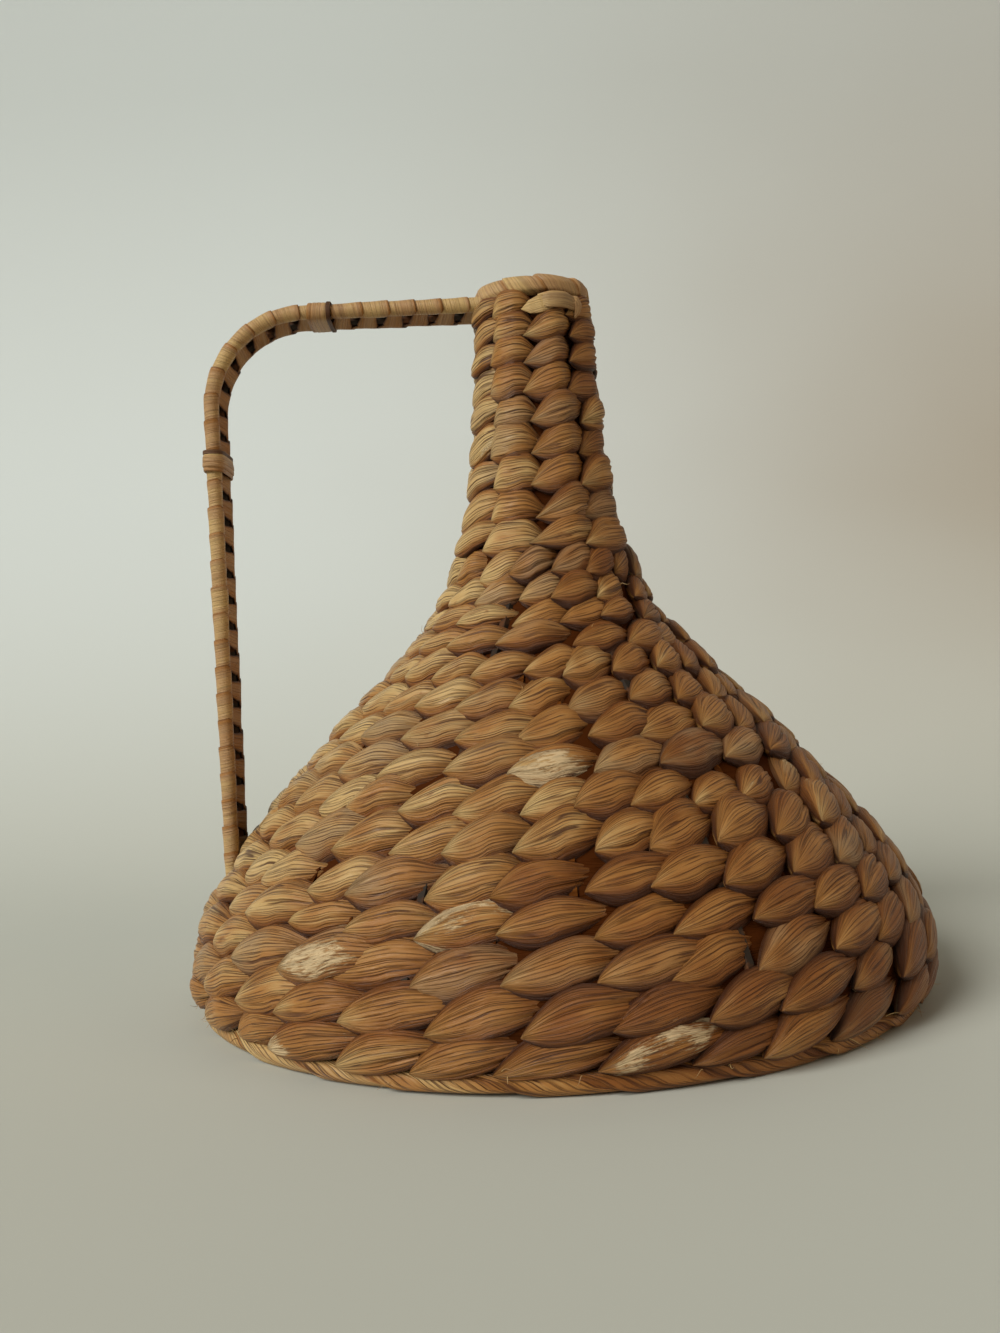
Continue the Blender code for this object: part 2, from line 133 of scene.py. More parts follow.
# The folds of the strip tied under the mouth, each by places along it: degrees from the front, and in
# millimetres how far it is below the neck's top, its width and its depth below the crowns. Its tone is last
TIE_FOLDS = (
    ((-12, -4, 6, 18), (3.9, 3.6, 2.9, 2.4), (0.3, 3.6, 4.8, 3.0), (0.6, -0.3, -0.4, 0.5), 0.86),
    (
        (5, 12, 30, 42, 47),
        (2.2, 2.1, 1.9, 2.2, 2.9),
        (2.6, 3.9, 4.2, 3.6, 1.6),
        (0.2, -0.8, -0.9, -0.7, 0.3),
        0.74,
    ),
    (
        (38, 43, 45, 44, 42),
        (0.6, 1.2, 2.6, 4.4, 5.9),
        (1.2, 2.4, 2.8, 2.0, 0.5),
        (-0.3, -1.1, -1.2, -0.8, -0.1),
        0.66,
    ),
    ((4, 14, 30, 44), (0.5, 0.3, 0.3, 0.8), (0.5, 1.3, 1.5, 0.7), (-0.2, -0.6, -0.7, -0.3), 0.60),
)

# Where the leaf is worn pale: degrees from the front and height in millimetres
WORN_PLACES = (
    (-3.1, 67.2),
    (-14.0, 34.6),
    (-35.6, 29.3),
    (9.4, 9.7),
    (41.6, 19.8),
    (-31.3, 8.0),
)

# The lap of a strip wound round a hoop: shares of a turn, and how far the strip is raised there
LAP = (
    *((0.0, 0.35), (0.015, 1.0), (0.05, 0.98), (0.12, 0.90)),
    *((0.22, 0.80), (0.34, 0.70), (0.46, 0.60), (0.58, 0.50)),
    *((0.70, 0.38), (0.82, 0.24), (0.92, 0.10), (0.985, 0.0)),
)

# Waves round a strand's section, and its folds: how likely each is and how deep
STRAND_WAVES = (5, 8, 13, 19)
STRAND_FOLDS = ((0.75, 1.0), (0.7, 0.8), (0.6, 0.6), (0.6, 0.6), (0.6, 0.5))

# The pleats of a leaf: how often they come, their own cloud, how sharp and how deep they are, and how
# strong the cloud is where they open
PLEATS = (
    (0.38, 1.0, 0.90, 1.0, 0.44),
    (0.66, 2.0, 0.82, 0.90, 0.40),
    (1.10, 3.0, 0.55, 0.65, 0.36),
)

# The sheet of paper: how far it reaches before the flask and to each side, where it starts to bend up, the
# radius of the bend, and its height
SWEEP_FRONT = 0.9
SWEEP_SIDE = 1.9
SWEEP_START = 0.15
SWEEP_BEND = 0.6
SWEEP_HEIGHT = 1.8

# The lamps: a place from which each shines, and its tint
LAMPS = {
    "key": ((-0.72, -0.66, 0.62), (1.0, 0.99, 0.96)),
    "fill": ((0.9, -0.5, 0.35), (1.0, 0.70, 0.42)),
    "back": ((0.5, 0.8, 0.6), (1.0, 0.98, 0.95)),
}

SEEDS = {"body": 11, "neck": 23, "base": 31, "foot": 41, "mouth": 53, "handle": 67, "fibres": 79}


def length(name, default, description):
    """A property for a length in metres."""
    return bpy.props.FloatProperty(
        name=name,
        description=description,
        default=default,
        min=0.0,
        precision=4,
        unit="LENGTH",
        subtype="DISTANCE",
    )


def share(name, default, description):
    """A property for a share from nought to one."""
    return bpy.props.FloatProperty(name=name, description=description, default=default, min=0.0, max=1.0)


def colour(name, default, description):
    """A property for a linear colour."""
    return bpy.props.FloatVectorProperty(
        name=name, description=description, default=default, min=0.0, max=1.0, size=3, subtype="COLOR"
    )


def strength(name, default, description):
    """A property for a strength or another positive number."""
    return bpy.props.FloatProperty(name=name, description=description, default=default, min=0.0)


def tilt(name, default, description):
    """A property for an angle."""
    return bpy.props.FloatProperty(name=name, description=description, default=default, subtype="ANGLE")


class FlaskSizes(bpy.types.PropertyGroup):
    """Sizes of the flask, measured over the crowns of the courses."""

    foot_radius: length("Foot radius", 0.1000, "Radius of the widest course")
    shoulder_radius: length("Shoulder radius", 0.0250, "Radius where the neck begins")
    mouth_radius: length("Mouth radius", 0.0170, "Radius of the neck's last course")
    shoulder_height: length("Shoulder height", 0.1190, "Height at which the neck begins")
    neck_height: length("Neck height", 0.0680, "Height of the neck above the shoulder")
    wall: length("Wall", 0.0075, "Thickness of the twined wall")
    body_bottom: length("Body bottom", 0.00535, "Height at which the first course begins")
    neck_ridge: share("Neck ridge", 0.055, "How far the neck is flattened between its ridges")
    base_courses: bpy.props.IntProperty(
        name="Base courses", description="Rounds on the base", default=10, min=3
    )
    foot_border: length("Foot border", 0.0050, "Height of the wrap round the foot hoop")
    base_lift: length("Base lift", 0.0030, "Height of the underside of the base")
    base_thickness: length("Base thickness", 0.0078, "Thickness of the twined base")


class HandleSizes(bpy.types.PropertyGroup):
    """Sizes of the handle and of the strips wound round it and round the mouth."""

    reach: length("Reach", 0.0895, "From the flask's axis to the handle's drop")
    drop: length("Drop", 0.0024, "From the mouth hoop down to the handle's level arm")
    bend: length("Bend", 0.0260, "Radius of the handle's corner")
    wire_spacing: length("Wire spacing", 0.0112, "Between the two wires")
    bead: length("Bead", 0.0023, "Radius of the wound strip over one wire")
    pitch: length("Wrap pitch", 0.0075, "Advance of the strip for each turn round both wires")
    top_binding: length("Top binding", 0.0590, "From the flask's axis to the binding on the level arm")
    drop_binding: length("Drop binding", 0.0400, "From the level arm down to the binding on the drop")
    binding: length("Binding", 0.0060, "Length of a binding")
    mouth_border: length("Mouth border", 0.0027, "Radius of the wrap round the mouth hoop")
    strip: length("Strip thickness", 0.0004, "Thickness of a flat leaf strip")


class LeafLook(bpy.types.PropertyGroup):
    """Colours of the dry leaf and of the wire."""

    straw: colour("Straw", (0.56, 0.375, 0.150), "The palest leaf")
    tan: colour("Tan", (0.35, 0.155, 0.036), "The usual leaf")
    brown: colour("Brown", (0.21, 0.070, 0.011), "The darkest leaf")
    grey: colour("Grey", (0.30, 0.180, 0.085), "Weathered leaf")
    # The crease colour is painted shade: it darkens creases, grooves, tucked-in ends, the lining and the
    # stakes
    crease: colour("Crease", (0.055, 0.013, 0.0012), "The bottom of a crease")
    worn: colour("Worn", (0.64, 0.48, 0.27), "Leaf with its skin rubbed off")
    strip: colour("Strip", (0.43, 0.245, 0.105), "The flat strips of the rims and the handle")
    binding: colour("Binding", (0.13, 0.062, 0.024), "The dark bindings of the handle")
    wire: colour("Wire", (0.030, 0.022, 0.016), "The iron wire")
    rust: colour("Rust", (0.10, 0.040, 0.016), "Rust on the wire")


class StageLook(bpy.types.PropertyGroup):
    """The floor, the backdrop, the lamps and the camera."""

    floor: colour("Floor", (0.53, 0.54, 0.47), "The floor near the flask")
    left: colour("Backdrop on the left", (0.61, 0.66, 0.64), "The backdrop on the left")
    # Painted shade: the backdrop's right colour is darker and warmer than its left
    right: colour("Backdrop on the right", (0.32, 0.265, 0.19), "The backdrop on the right")
    horizon: colour("Horizon", (0.40, 0.41, 0.37), "What is seen beyond the floor")
    sky: strength("Sky", 0.12, "Strength of the even light")
    key: strength("Key", 3.0, "Strength of the light from the left")
    fill: strength("Fill", 0.45, "Strength of the light from the right")
    back: strength("Back", 0.5, "Strength of the light from behind")
    softness: tilt("Softness", 0.6, "Width of a light")
    distance: length("Camera distance", 0.350, "From the flask's axis to the camera")
    height: length("Camera height", 0.08945, "Height of the camera")
    aside: bpy.props.FloatProperty(
        name="Camera aside", description="Camera's place along X", default=-0.01335, unit="LENGTH"
    )
    pitch: tilt("Pitch", math.radians(-0.243), "Camera's tilt")
    roll: tilt("Roll", math.radians(2.573), "Camera's roll")
    focal: strength("Focal length", 33.76, "In millimetres on a frame 36 mm wide")


def smooth_curve(knots, steps):
    """A smooth curve through the knots, as an array of points."""
    knots = np.array(knots)
    ends = (2 * knots[0] - knots[1], 2 * knots[-1] - knots[-2])
    padded = np.vstack([ends[0], knots, ends[1]])
    shares = np.arange(steps)[:, None] / steps
    stretches = []
    for before, start, end, after in zip(padded, padded[1:], padded[2:], padded[3:]):
        stretches.append(
            start
            + shares * (end - before) / 2
            + shares**2 * (before - 2.5 * start + 2 * end - after / 2)
            + shares**3 * (3 * start - 3 * end + after - before) / 2
        )
    return np.vstack([*stretches, knots[-1]])


def eased(low, high, value):
    """Rises smoothly from 0 at low to 1 at high."""
    part = np.clip((value - low) / (high - low), 0, 1)
    return part * part * (3 - 2 * part)


def cylinder_place(radius, angle, height):
    """Points at a radius, an angle about the axis and a height."""
    return np.stack(np.broadcast_arrays(radius * np.cos(angle), radius * np.sin(angle), height), axis=-1)


class Wall:
    """The wall: a place on it is a length along the outline, an angle and a depth below the crowns."""

    def __init__(self, sizes):
        body_step = sizes.foot_radius - sizes.shoulder_radius
        neck_step = sizes.shoulder_radius - sizes.mouth_radius
        body = [
            (sizes.shoulder_radius + out * body_step, up * sizes.shoulder_height)
            for up, out in BODY_OUTLINE_SHARES
        ]
        neck = [
            (sizes.mouth_radius + out * neck_step, sizes.shoulder_height + up * sizes.neck_height)
            for up, out in NECK_OUTLINE_SHARES
        ]
        self.sizes = sizes
        self.top = sizes.shoulder_height + sizes.neck_height
        neck.append((sizes.mouth_radius - LAST_RINGS_INWARD, self.top + 0.0020))
        self.crowns = smooth_curve(body + neck, OUTLINE_STEPS)
        steps = np.linalg.norm(np.diff(self.crowns, axis=0), axis=1)
        self.lengths = np.concatenate([[0], np.cumsum(steps)])
        tangents = np.gradient(self.crowns, self.lengths, axis=0)
        tangents /= np.linalg.norm(tangents, axis=1)[:, None]
        self.inward = np.stack([-tangents[:, 1], tangents[:, 0]], axis=1)

    def line(self, depth):
        """The line at that depth, as an array of (radius, height) points."""
        return self.crowns + self.inward * depth

    def at(self, place, depth=0.0):
        """The (radius, height) of a place on the wall."""
        radii, heights = self.line(depth).T
        return np.interp(place, self.lengths, radii), np.interp(place, self.lengths, heights)

    def length_at_height(self, height, depth=0.0):
        """Where the line at that depth is that high."""
        return np.interp(height, self.line(depth)[:, 1], self.lengths)

    def length_at_radius(self, radius, depth=0.0):
        """Where the line at that depth, above its widest place, has that radius."""
        radii = self.line(depth)[:, 0]
        widest = int(np.argmax(radii))
        return np.interp(-radius, -radii[widest:], self.lengths[widest:])

    def surface(self, place, angle, depth):
        """Points on the wall. The neck is flattened between its eight ridges."""
        radius = np.interp(place, self.lengths, self.crowns[:, 0])
        height = np.interp(place, self.lengths, self.crowns[:, 1])
        radius = radius + depth * np.interp(place, self.lengths, self.inward[:, 0])
        height = height + depth * np.interp(place, self.lengths, self.inward[:, 1])
        start = self.sizes.shoulder_height
        flat = self.sizes.neck_ridge * eased(start - 0.004, start + 0.010, height)
        radius = radius * (1 - flat * (1 - np.cos(NECK_RIDGES * (angle - NECK_RIDGE_TURN))) / 2)
        return cylinder_place(radius, angle, height)


def foot_hoop_radius(wall):
    """The radius of the foot hoop, which lies in the middle of the wall."""
    middle = wall.sizes.wall / 2
    return wall.at(wall.length_at_height(wall.sizes.foot_border / 2, middle), middle)[0]


def base_surface(sizes):
    """The underside of the base as a surface: a place on it is a radius, an angle and a depth from below."""

    def surface(place, angle, depth):
        return cylinder_place(place, angle, sizes.base_lift + depth)

    return surface


def named_mesh(name, points, corners, counts, place, make, finish):
    """A smooth mesh with the leaf's coordinates on its points.

    place holds millimetres along and across the leaf and the leaf's own number. make holds its tone, the
    share of its length and its wear.
    """
    mesh = bpy.data.meshes.new(name)
    mesh.vertices.add(points.size // 3)
    mesh.vertices.foreach_set("co", np.ascontiguousarray(points, np.float32).ravel())
    mesh.loops.add(corners.size)
    mesh.loops.foreach_set("vertex_index", corners.ravel().astype(np.int32))
    mesh.polygons.add(len(counts))
    mesh.polygons.foreach_set("loop_start", np.concatenate([[0], np.cumsum(counts)[:-1]]).astype(np.int32))
    mesh.update(calc_edges=True)
    for layer, values in (("leaf_place", place), ("leaf_make", make)):
        data = mesh.attributes.new(layer, "FLOAT_VECTOR", "POINT").data
        data.foreach_set("vector", np.ascontiguousarray(values, np.float32).ravel())
    mesh.materials.append(finish)
    mesh.shade_smooth()
    made = bpy.data.objects.new(name, mesh)
    bpy.context.scene.collection.objects.link(made)
    return made


def tube_mesh(name, tubes, finish):
    """One mesh of many closed tubes.

    Each of tubes is (points, place, make), with the axes tube, ring and side.
    """
    points, place, make, corners, counts = [], [], [], [], []
    start = 0
    for shape in tubes:
        number, rings, sides = shape[0].shape[:3]
        index = start + np.arange(number * rings * sides).reshape(number, rings, sides)
        aside = np.roll(index, -1, axis=2)
        walls = np.stack([index[:, :-1], aside[:, :-1], aside[:, 1:], index[:, 1:]], axis=-1)
        ends = np.concatenate([index[:, 0, ::-1], index[:, -1]])
        corners += [walls.ravel(), ends.ravel()]
        counts += [np.full(walls.size // 4, 4), np.full(len(ends), sides)]
        for kept, values in zip((points, place, make), shape):
            kept.append(np.broadcast_to(values, (number, rings, sides, 3)).reshape(-1, 3))
        start += index.size
    joined = [np.concatenate(values) for values in (points, corners, counts, place, make)]
    return named_mesh(name, *joined, finish)


def closed_quads(rows, columns, shift=0):
    """The corners of the faces of a grid that closes both ways. Its seam moves on by shift rows."""
    index = np.arange(rows * columns).reshape(rows, columns)
    above = np.roll(index, -1, axis=0)
    aside = np.roll(index, -1, axis=1)
    beyond = np.roll(above, -1, axis=1)
    aside[:, -1] = np.roll(index[:, 0], -shift)
    beyond[:, -1] = np.roll(above[:, 0], -shift)
    return np.stack([index, aside, beyond, above], axis=-1).reshape(-1, 4)


def section_angles(front, back):
    """Angles round a strand's section, close together on its outer side. They start at the inner side."""
    low = math.pi * 0.08
    outer = np.linspace(-low, math.pi + low, front)
    inner = np.linspace(math.pi + low, FULL_TURN - low, back + 2)[1:-1]
    return np.concatenate([outer, inner])


def bent(value, power):
    """The value's size to a power, with its sign kept."""
    return np.sign(value) * np.abs(value) ** power


class StrandStyle:
    """How the strands of one surface are shaped, in metres and in shares of a strand's own size."""

    def __init__(self, **changes):
        # How many rings a strand has, and how many points on its outer and inner sides
        self.rings = 24
        self.front = 42
        self.back = 6
        # Its length in turns of the round, where it is tallest, and how slowly it widens to there
        self.reach = 1.48
        self.peak = 0.54
        self.blunt = 0.78
        # How its upper edge falls and its lower edge dips and rises
        self.fall = 0.10
        self.dip = 0.15
        self.lift_start = 0.42
        self.lift = 0.62
        self.wide = 1.33
        self.tone = 0.0
        # How deep its two ends are, and the parts of its length where they sink
        self.tip_depth = 0.0010
        self.end_depth = 0.0038
        self.tip_run = 0.20
        self.end_start = 0.46
        # How round its section is, how deep its creases and folds are, and how uneven the strands are
        self.fullness = 0.55
        self.crease = 0.00009
        self.fold = 0.00075
        self.uneven = 1.3
        for name, value in changes.items():
            setattr(self, name, value)


def row_tones(count, rng):
    """A tone for each strand of a course: two strands take turns, and each keeps its leaf for a while."""
    tones = np.zeros(count)
    for turn in range(2):
        spots = np.arange(turn, count, 2)
        leaves = rng.beta(2.2, 2.0, len(spots))
        kept = rng.random(len(spots)) < 0.45
        for i in range(1, len(spots)):
            if kept[i]:
                leaves[i] = leaves[i - 1]
        tones[spots] = leaves
    return tones


def even_strands(count, first_tip, style, rng):
    """The angles at which the strands of a round begin, and how far each one reaches."""
    turn = FULL_TURN / count
    tips = first_tip + turn * (np.arange(count) + rng.uniform(-0.12, 0.12, count) * style.uneven)
    return tips, turn * style.reach * (1 + rng.uniform(-0.09, 0.10, count) * style.uneven)


class Drawn:
    """Draws a value for each strand of a course, shaped (strand, 1, 1) to meet its rings and sides."""

    def __init__(self, count, rng):
        self.count = count
        self.shape = (count, 1, 1)
        self.rng = rng

    def __call__(self, start, end):
        """A value between start and end for each strand."""
        return self.rng.uniform(start, end, self.shape)

    def each(self, value):
        """A value that is given once, or once for each strand."""
        return np.broadcast_to(value, self.count).reshape(self.shape)


def strand_outline(low, high, u, style, drawn):
    """The outline of each strand from outside: its middle, half its width, and its part of the wall."""
    loose = style.uneven
    span = (high - low) * (1 + drawn(-0.12, 0.13) * loose)
    middle = (low + high) / 2 + (high - low) * drawn(-0.06, 0.06) * loose
    peak = drawn.each(style.peak) + drawn(-0.08, 0.07) * loose
    blunt = drawn.each(style.blunt) * drawn(0.85, 1.15)
    rise = np.sin(math.pi / 2 * np.clip(u / peak, 0, 1)) ** blunt
    top = -0.38 + (0.97 + drawn(-0.06, 0.09)) * rise
    top = top - (drawn.each(style.fall) + drawn(-0.05, 0.08)) * eased(0.60, 1.0, u)
    start = drawn.each(style.lift_start)
    lifted = np.clip((u - start) / (1 - start), 0, 1) ** 1.4
    bottom = -0.41 - (style.dip + drawn(-0.04, 0.04)) * np.sin(math.pi * np.clip(u / 0.52, 0, 1))
    bottom = bottom + (drawn.each(style.lift) + drawn(-0.14, 0.08)) * lifted
    centre = middle + span * (top + bottom) / 2
    half = span * (top - bottom) / 2 * (style.wide + drawn(-0.03, 0.05))
    return centre, half, span


def strand_relief(u, side, style, drawn):
    """The broad creases and the narrow folds of each strand, as heights above its section."""
    relief = np.zeros(np.broadcast_shapes(drawn.shape, u.shape, side.shape))
    for waves in STRAND_WAVES:
        phase = drawn(0, FULL_TURN) + drawn(-1.5, 1.5) * u
        relief = relief + drawn(0.3, 1.0) * np.cos((waves + drawn(-0.5, 0.5)) * side + phase)
    relief = relief * style.crease * (0.45 + 0.9 * eased(0.2, 0.95, u))
    for chance, deep in STRAND_FOLDS:
        folded = drawn.rng.random(drawn.shape) < chance
        fold_side = math.pi / 2 + drawn(-1.05, 0.90) + drawn(-0.35, 0.35) * u
        start = drawn(-0.2, 0.45)
        fold = np.exp(-(((side - fold_side) / drawn(0.05, 0.10)) ** 2)) * eased(0.0, 0.35, u - start)
        relief = relief - folded * fold * style.fold * deep * drawn(0.5, 1.2)
    return relief


def strand_tone(turned, side, low_height, style, drawn):
    """Strand tones, with painted shade away from the key light, low down in front and in the grooves."""
    # Painted shade: darker and browner towards the side away from the key light
    aside = np.cos(turned - SHADED_SIDE)
    tone = style.tone + 0.27 + row_tones(drawn.count, drawn.rng).reshape(drawn.shape) * 0.60 - 0.36 * aside
    # Painted shade near the foot and on the base, strongest in front, where the lower courses face down
    ahead = np.exp(-((np.angle(np.exp(1j * (turned - FRONT))) / 0.5) ** 2))
    tone = tone - (0.16 + 0.34 * ahead) * (1 - eased(0.004, 0.050, low_height))
    # Painted shade in the grooves: darker towards both edges of the section, most at the lower one
    return tone - 1.30 * np.abs(np.cos(side)) ** 3.0 * (1 - 0.30 * np.cos(side))


def twined_course(surface, low, high, strands, style, rng, worn=()):
    """The strands of one course, as tubes.

    Each strand starts at a tip at its lower left and tucks in at its upper right, behind the next one. u
    runs along it and side runs round its section.
    """
    drawn = Drawn(len(strands[0]), rng)
    tips, reach = (drawn.each(values) for values in strands)
    u = (np.linspace(0, 1, style.rings) ** 1.2).reshape(1, -1, 1)
    side = section_angles(style.front, style.back).reshape(1, 1, -1)
    centre, half, span = strand_outline(low, high, u, style, drawn)
    # How deep it lies and how thick it is
    tip = (1 - np.sin(math.pi / 2 * np.clip(u / style.tip_run, 0, 1))) ** 1.25
    outer = style.tip_depth * tip + style.end_depth * eased(style.end_start, 1.06, u) ** 1.25
    outer = outer + (drawn(-0.0006, 0.0007) + rng.uniform(-0.0003, 0.0004)) * style.uneven
    thick = style.fullness * half + 0.0003
    relief = strand_relief(u, side, style, drawn) * np.clip(half / (span * 0.25), 0, 1)
    place = centre + half * bent(np.cos(side), 0.86) + relief * np.cos(side)
    depth = outer + thick - thick * np.sin(side) - relief * np.sin(side)
    points = surface(place, tips + reach * u + 0 * side, depth)
    turned = np.angle(np.exp(1j * (tips + reach * 0.45)))
    tone = strand_tone(turned, side, points[:, :1, :1, 2], style, drawn)
    ahead = points[:, :, style.front // 2]
    wear = np.where(rng.random(drawn.shape) < 0.08, drawn(0.35, 0.75), drawn(0.0, 0.2))
    wear = np.maximum(wear, worn_here(ahead[:, style.rings // 2], worn).reshape(drawn.shape))
    # Where its leaf's fibres run
    run = np.linalg.norm(ahead[:, 1:] - ahead[:, :-1], axis=-1)
    along = np.concatenate([np.zeros((drawn.count, 1)), np.cumsum(run, axis=1)], axis=1)[:, :, None]
    wide = (side - math.pi / 2) / math.pi * 2.3 * np.max(half, axis=1, keepdims=True)
    number = rng.uniform(0, 500, drawn.shape)
    parts = ((along / MILLIMETRE, wide / MILLIMETRE, number), (tone, u, wear))
    laid = (np.stack(np.broadcast_arrays(*part), axis=-1) for part in parts)
    return points, *(np.broadcast_to(values, relief.shape + (3,)) for values in laid)


def worn_here(middles, worn):
    """How worn each strand is, from the named worn places near its middle."""
    wear = np.zeros(len(middles))
    for degrees, height in worn:
        angle = FRONT + math.radians(degrees)
        radius = np.hypot(middles[:, 0], middles[:, 1])
        away = np.angle(np.exp(1j * (np.arctan2(middles[:, 1], middles[:, 0]) - angle))) * radius
        gap = np.hypot(away / 0.009, (middles[:, 2] - height * MILLIMETRE) / 0.0045)
        if np.min(gap) < 1.3:
            wear[np.argmin(gap)] = 1.0
    return wear


def course_edges(start, end, shares):
    """The lengths at which the courses between start and end begin and end."""
    return start + (end - start) * np.concatenate([[0], np.cumsum(shares)]) / np.sum(shares)


def lined(name, surface, start, end, courses, outer, inner, steps, node, rng):
    """The inner strands of a wall as one mesh that closes both ways, with a low hump for each strand."""
    rows = courses * 5 + 1
    place = np.linspace(start, end, rows)[:, None]
    angle = np.linspace(0, FULL_TURN, steps, endpoint=False)[None, :]
    wave = np.cos(FULL_TURN * (np.arange(rows)[:, None] / 5 - 0.5) + 0.9 * np.sin(angle * steps / 4))
    hump = 0.0005 * (1 - wave) + 0.0002 * rng.random((rows, steps))
    face = surface(place + 0 * angle, angle + 0 * place, inner - 0.0008 + hump)
    back = surface(place + 0 * angle, angle + 0 * place, outer + 0 * hump)
    points = np.concatenate([back, face[::-1]])
    x, y, height = np.moveaxis(points, -1, 0)
    radius = np.hypot(x, y)
    spread = (np.arctan2(y, x) * radius / MILLIMETRE, (height + radius) / MILLIMETRE, 0 * radius + 7)
    # The lining is drawn dark as painted shade in the gaps
    make = (LINING_SHADE_TONE + 0.2 * rng.random(radius.shape), 0 * radius + 0.5, 0 * radius)
    corners = closed_quads(*radius.shape)
    laid = (np.stack(spread, axis=-1), np.stack(make, axis=-1))
    made = named_mesh(name, points, corners, np.full(len(corners), 4), *laid, material("Inner leaf"))
    dressed(made, "leaf_weave", node)


def strip_tube(path, normals, half_width, half_depth, lean, rng, sides, tone, wear=0.0, roll=0.0, edge_shade=0.3):
    """A flat leaf strip along a path, as one tube.

    The outward normals lean by an angle about the path, roll is how far the two edges curl in, and the last
    argument darkens the edges as painted shade.
    """
    path = np.asarray(path)
    ahead = np.gradient(path, axis=0)
    ahead /= np.linalg.norm(ahead, axis=1)[:, None]
    side = np.cross(normals, ahead)
    side /= np.linalg.norm(side, axis=1)[:, None]
    out = np.cross(ahead, side)
    lean = np.broadcast_to(lean, len(path))[:, None]
    side, out = side * np.cos(lean) + out * np.sin(lean), out * np.cos(lean) - side * np.sin(lean)
    turn = (np.arange(sides) + 0.5) * FULL_TURN / sides - math.pi / 2
    across = bent(np.cos(turn), 0.8)[None, :, None]
    up = bent(np.sin(turn), 0.9)[None, :, None]
    wide = np.broadcast_to(half_width, len(path))[:, None, None]
    deep = np.broadcast_to(half_depth, len(path))[:, None, None]
    curl = roll * wide * (across**2)
    points = path[:, None] + side[:, None] * wide * across + out[:, None] * (deep * up - curl)
    run = np.concatenate([[0], np.cumsum(np.linalg.norm(np.diff(path, axis=0), axis=1))])[:, None]
    number = rng.uniform(0, 500)
    parts = (run / MILLIMETRE, across[..., 0] * wide[..., 0] / MILLIMETRE, np.array([[number]]))
    place = np.stack(np.broadcast_arrays(*parts), axis=-1)
    # Painted shade: the strip's edges are drawn darker
    tones = np.broadcast_to(tone, len(path))[:, None] - edge_shade * np.abs(across[..., 0]) ** 5
    make = np.stack(np.broadcast_arrays(tones, run / run[-1], 0 * across[..., 0] + wear), axis=-1)
    return points[None], place[None], make[None]


def shingled_ring(
    name, radius, height, half_across, half_up, finish, rng, seams, slant, square, step, shade
):
    """A strip wound round a hoop, as one closed ring. Each turn laps over the next with a thin edge.

    slant is how many turns a seam moves on while it goes once round the section, from its inner side. square
    is how square the section is, step is how thick an edge is, and shade is added to the tone.
    """
    cuts, lift = np.array(LAP).T
    around = 40
    starts = np.arange(seams)[:, None] + rng.uniform(-0.12, 0.12, (seams, 1))
    ends = np.roll(starts, -1, axis=0)
    ends[-1] += seams
    turns = (starts + (ends - starts) * cuts[None, :]).ravel()
    section = math.pi + np.arange(around) * FULL_TURN / around
    angle = (turns[:, None] - slant * (section[None, :] / FULL_TURN - 1)) * FULL_TURN / seams
    across = bent(np.cos(section), square)[None, :]
    up = bent(np.sin(section), square)[None, :]
    grow = (np.tile(lift, seams) * step)[:, None] - step
    wrinkle = 0
    for waves in (2, 3, 5, 8):
        phase = np.repeat(rng.uniform(0, FULL_TURN, seams), len(cuts)) + rng.normal(0, 0.25, len(turns))
        size = np.repeat(rng.uniform(0.2, 1.0, seams), len(cuts))
        wave = np.cos(waves * section[None, :] + phase[:, None])
        wrinkle = wrinkle + WRINKLE / waves**0.5 * size[:, None] * wave
    grow = grow + wrinkle
    ring = radius + half_across * across + grow * np.cos(section)
    level = np.maximum(height + half_up * up + grow * np.sin(section), 0.0)
    points = cylinder_place(ring, angle, level)
    corners = closed_quads(len(turns), around, slant * len(cuts))[:, [0, 3, 2, 1]]
    # The fibres run along the strip, which goes round the section and slowly round the hoop
    perimeter = 2 * (half_across + half_up) * 0.9 / MILLIMETRE
    stretch = FULL_TURN * radius / seams / MILLIMETRE
    lean = math.atan2(perimeter, slant * stretch)
    straight = turns[:, None] * stretch
    wound = section[None, :] / FULL_TURN * math.hypot(perimeter, slant * stretch)
    place = (wound + straight * math.cos(lean), straight * math.sin(lean), 0 * straight + 3)
    middle = (turns + 0.5 * slant) * FULL_TURN / seams
    # Painted shade: each turn is darker on the side of the flask away from the key light
    tones = np.repeat(rng.uniform(0.35, 0.85, seams), len(cuts)) - 0.30 * np.cos(middle - SHADED_SIDE)
    # Painted shade: the end of each turn, under the next turn's edge, is drawn darker
    tones = (tones + shade)[:, None] - 0.5 * (np.tile(lift, seams)[:, None] < 0.15)
    wear = np.repeat(np.where(rng.random(seams) < 0.3, 0.55, 0.1), len(cuts))[:, None]
    make = (tones, 0 * wound + 0.5, wear)
    laid = [np.stack(np.broadcast_arrays(*parts), axis=-1) for parts in (place, make)]
    return named_mesh(name, points, corners, np.full(len(corners), 4), *laid, finish)


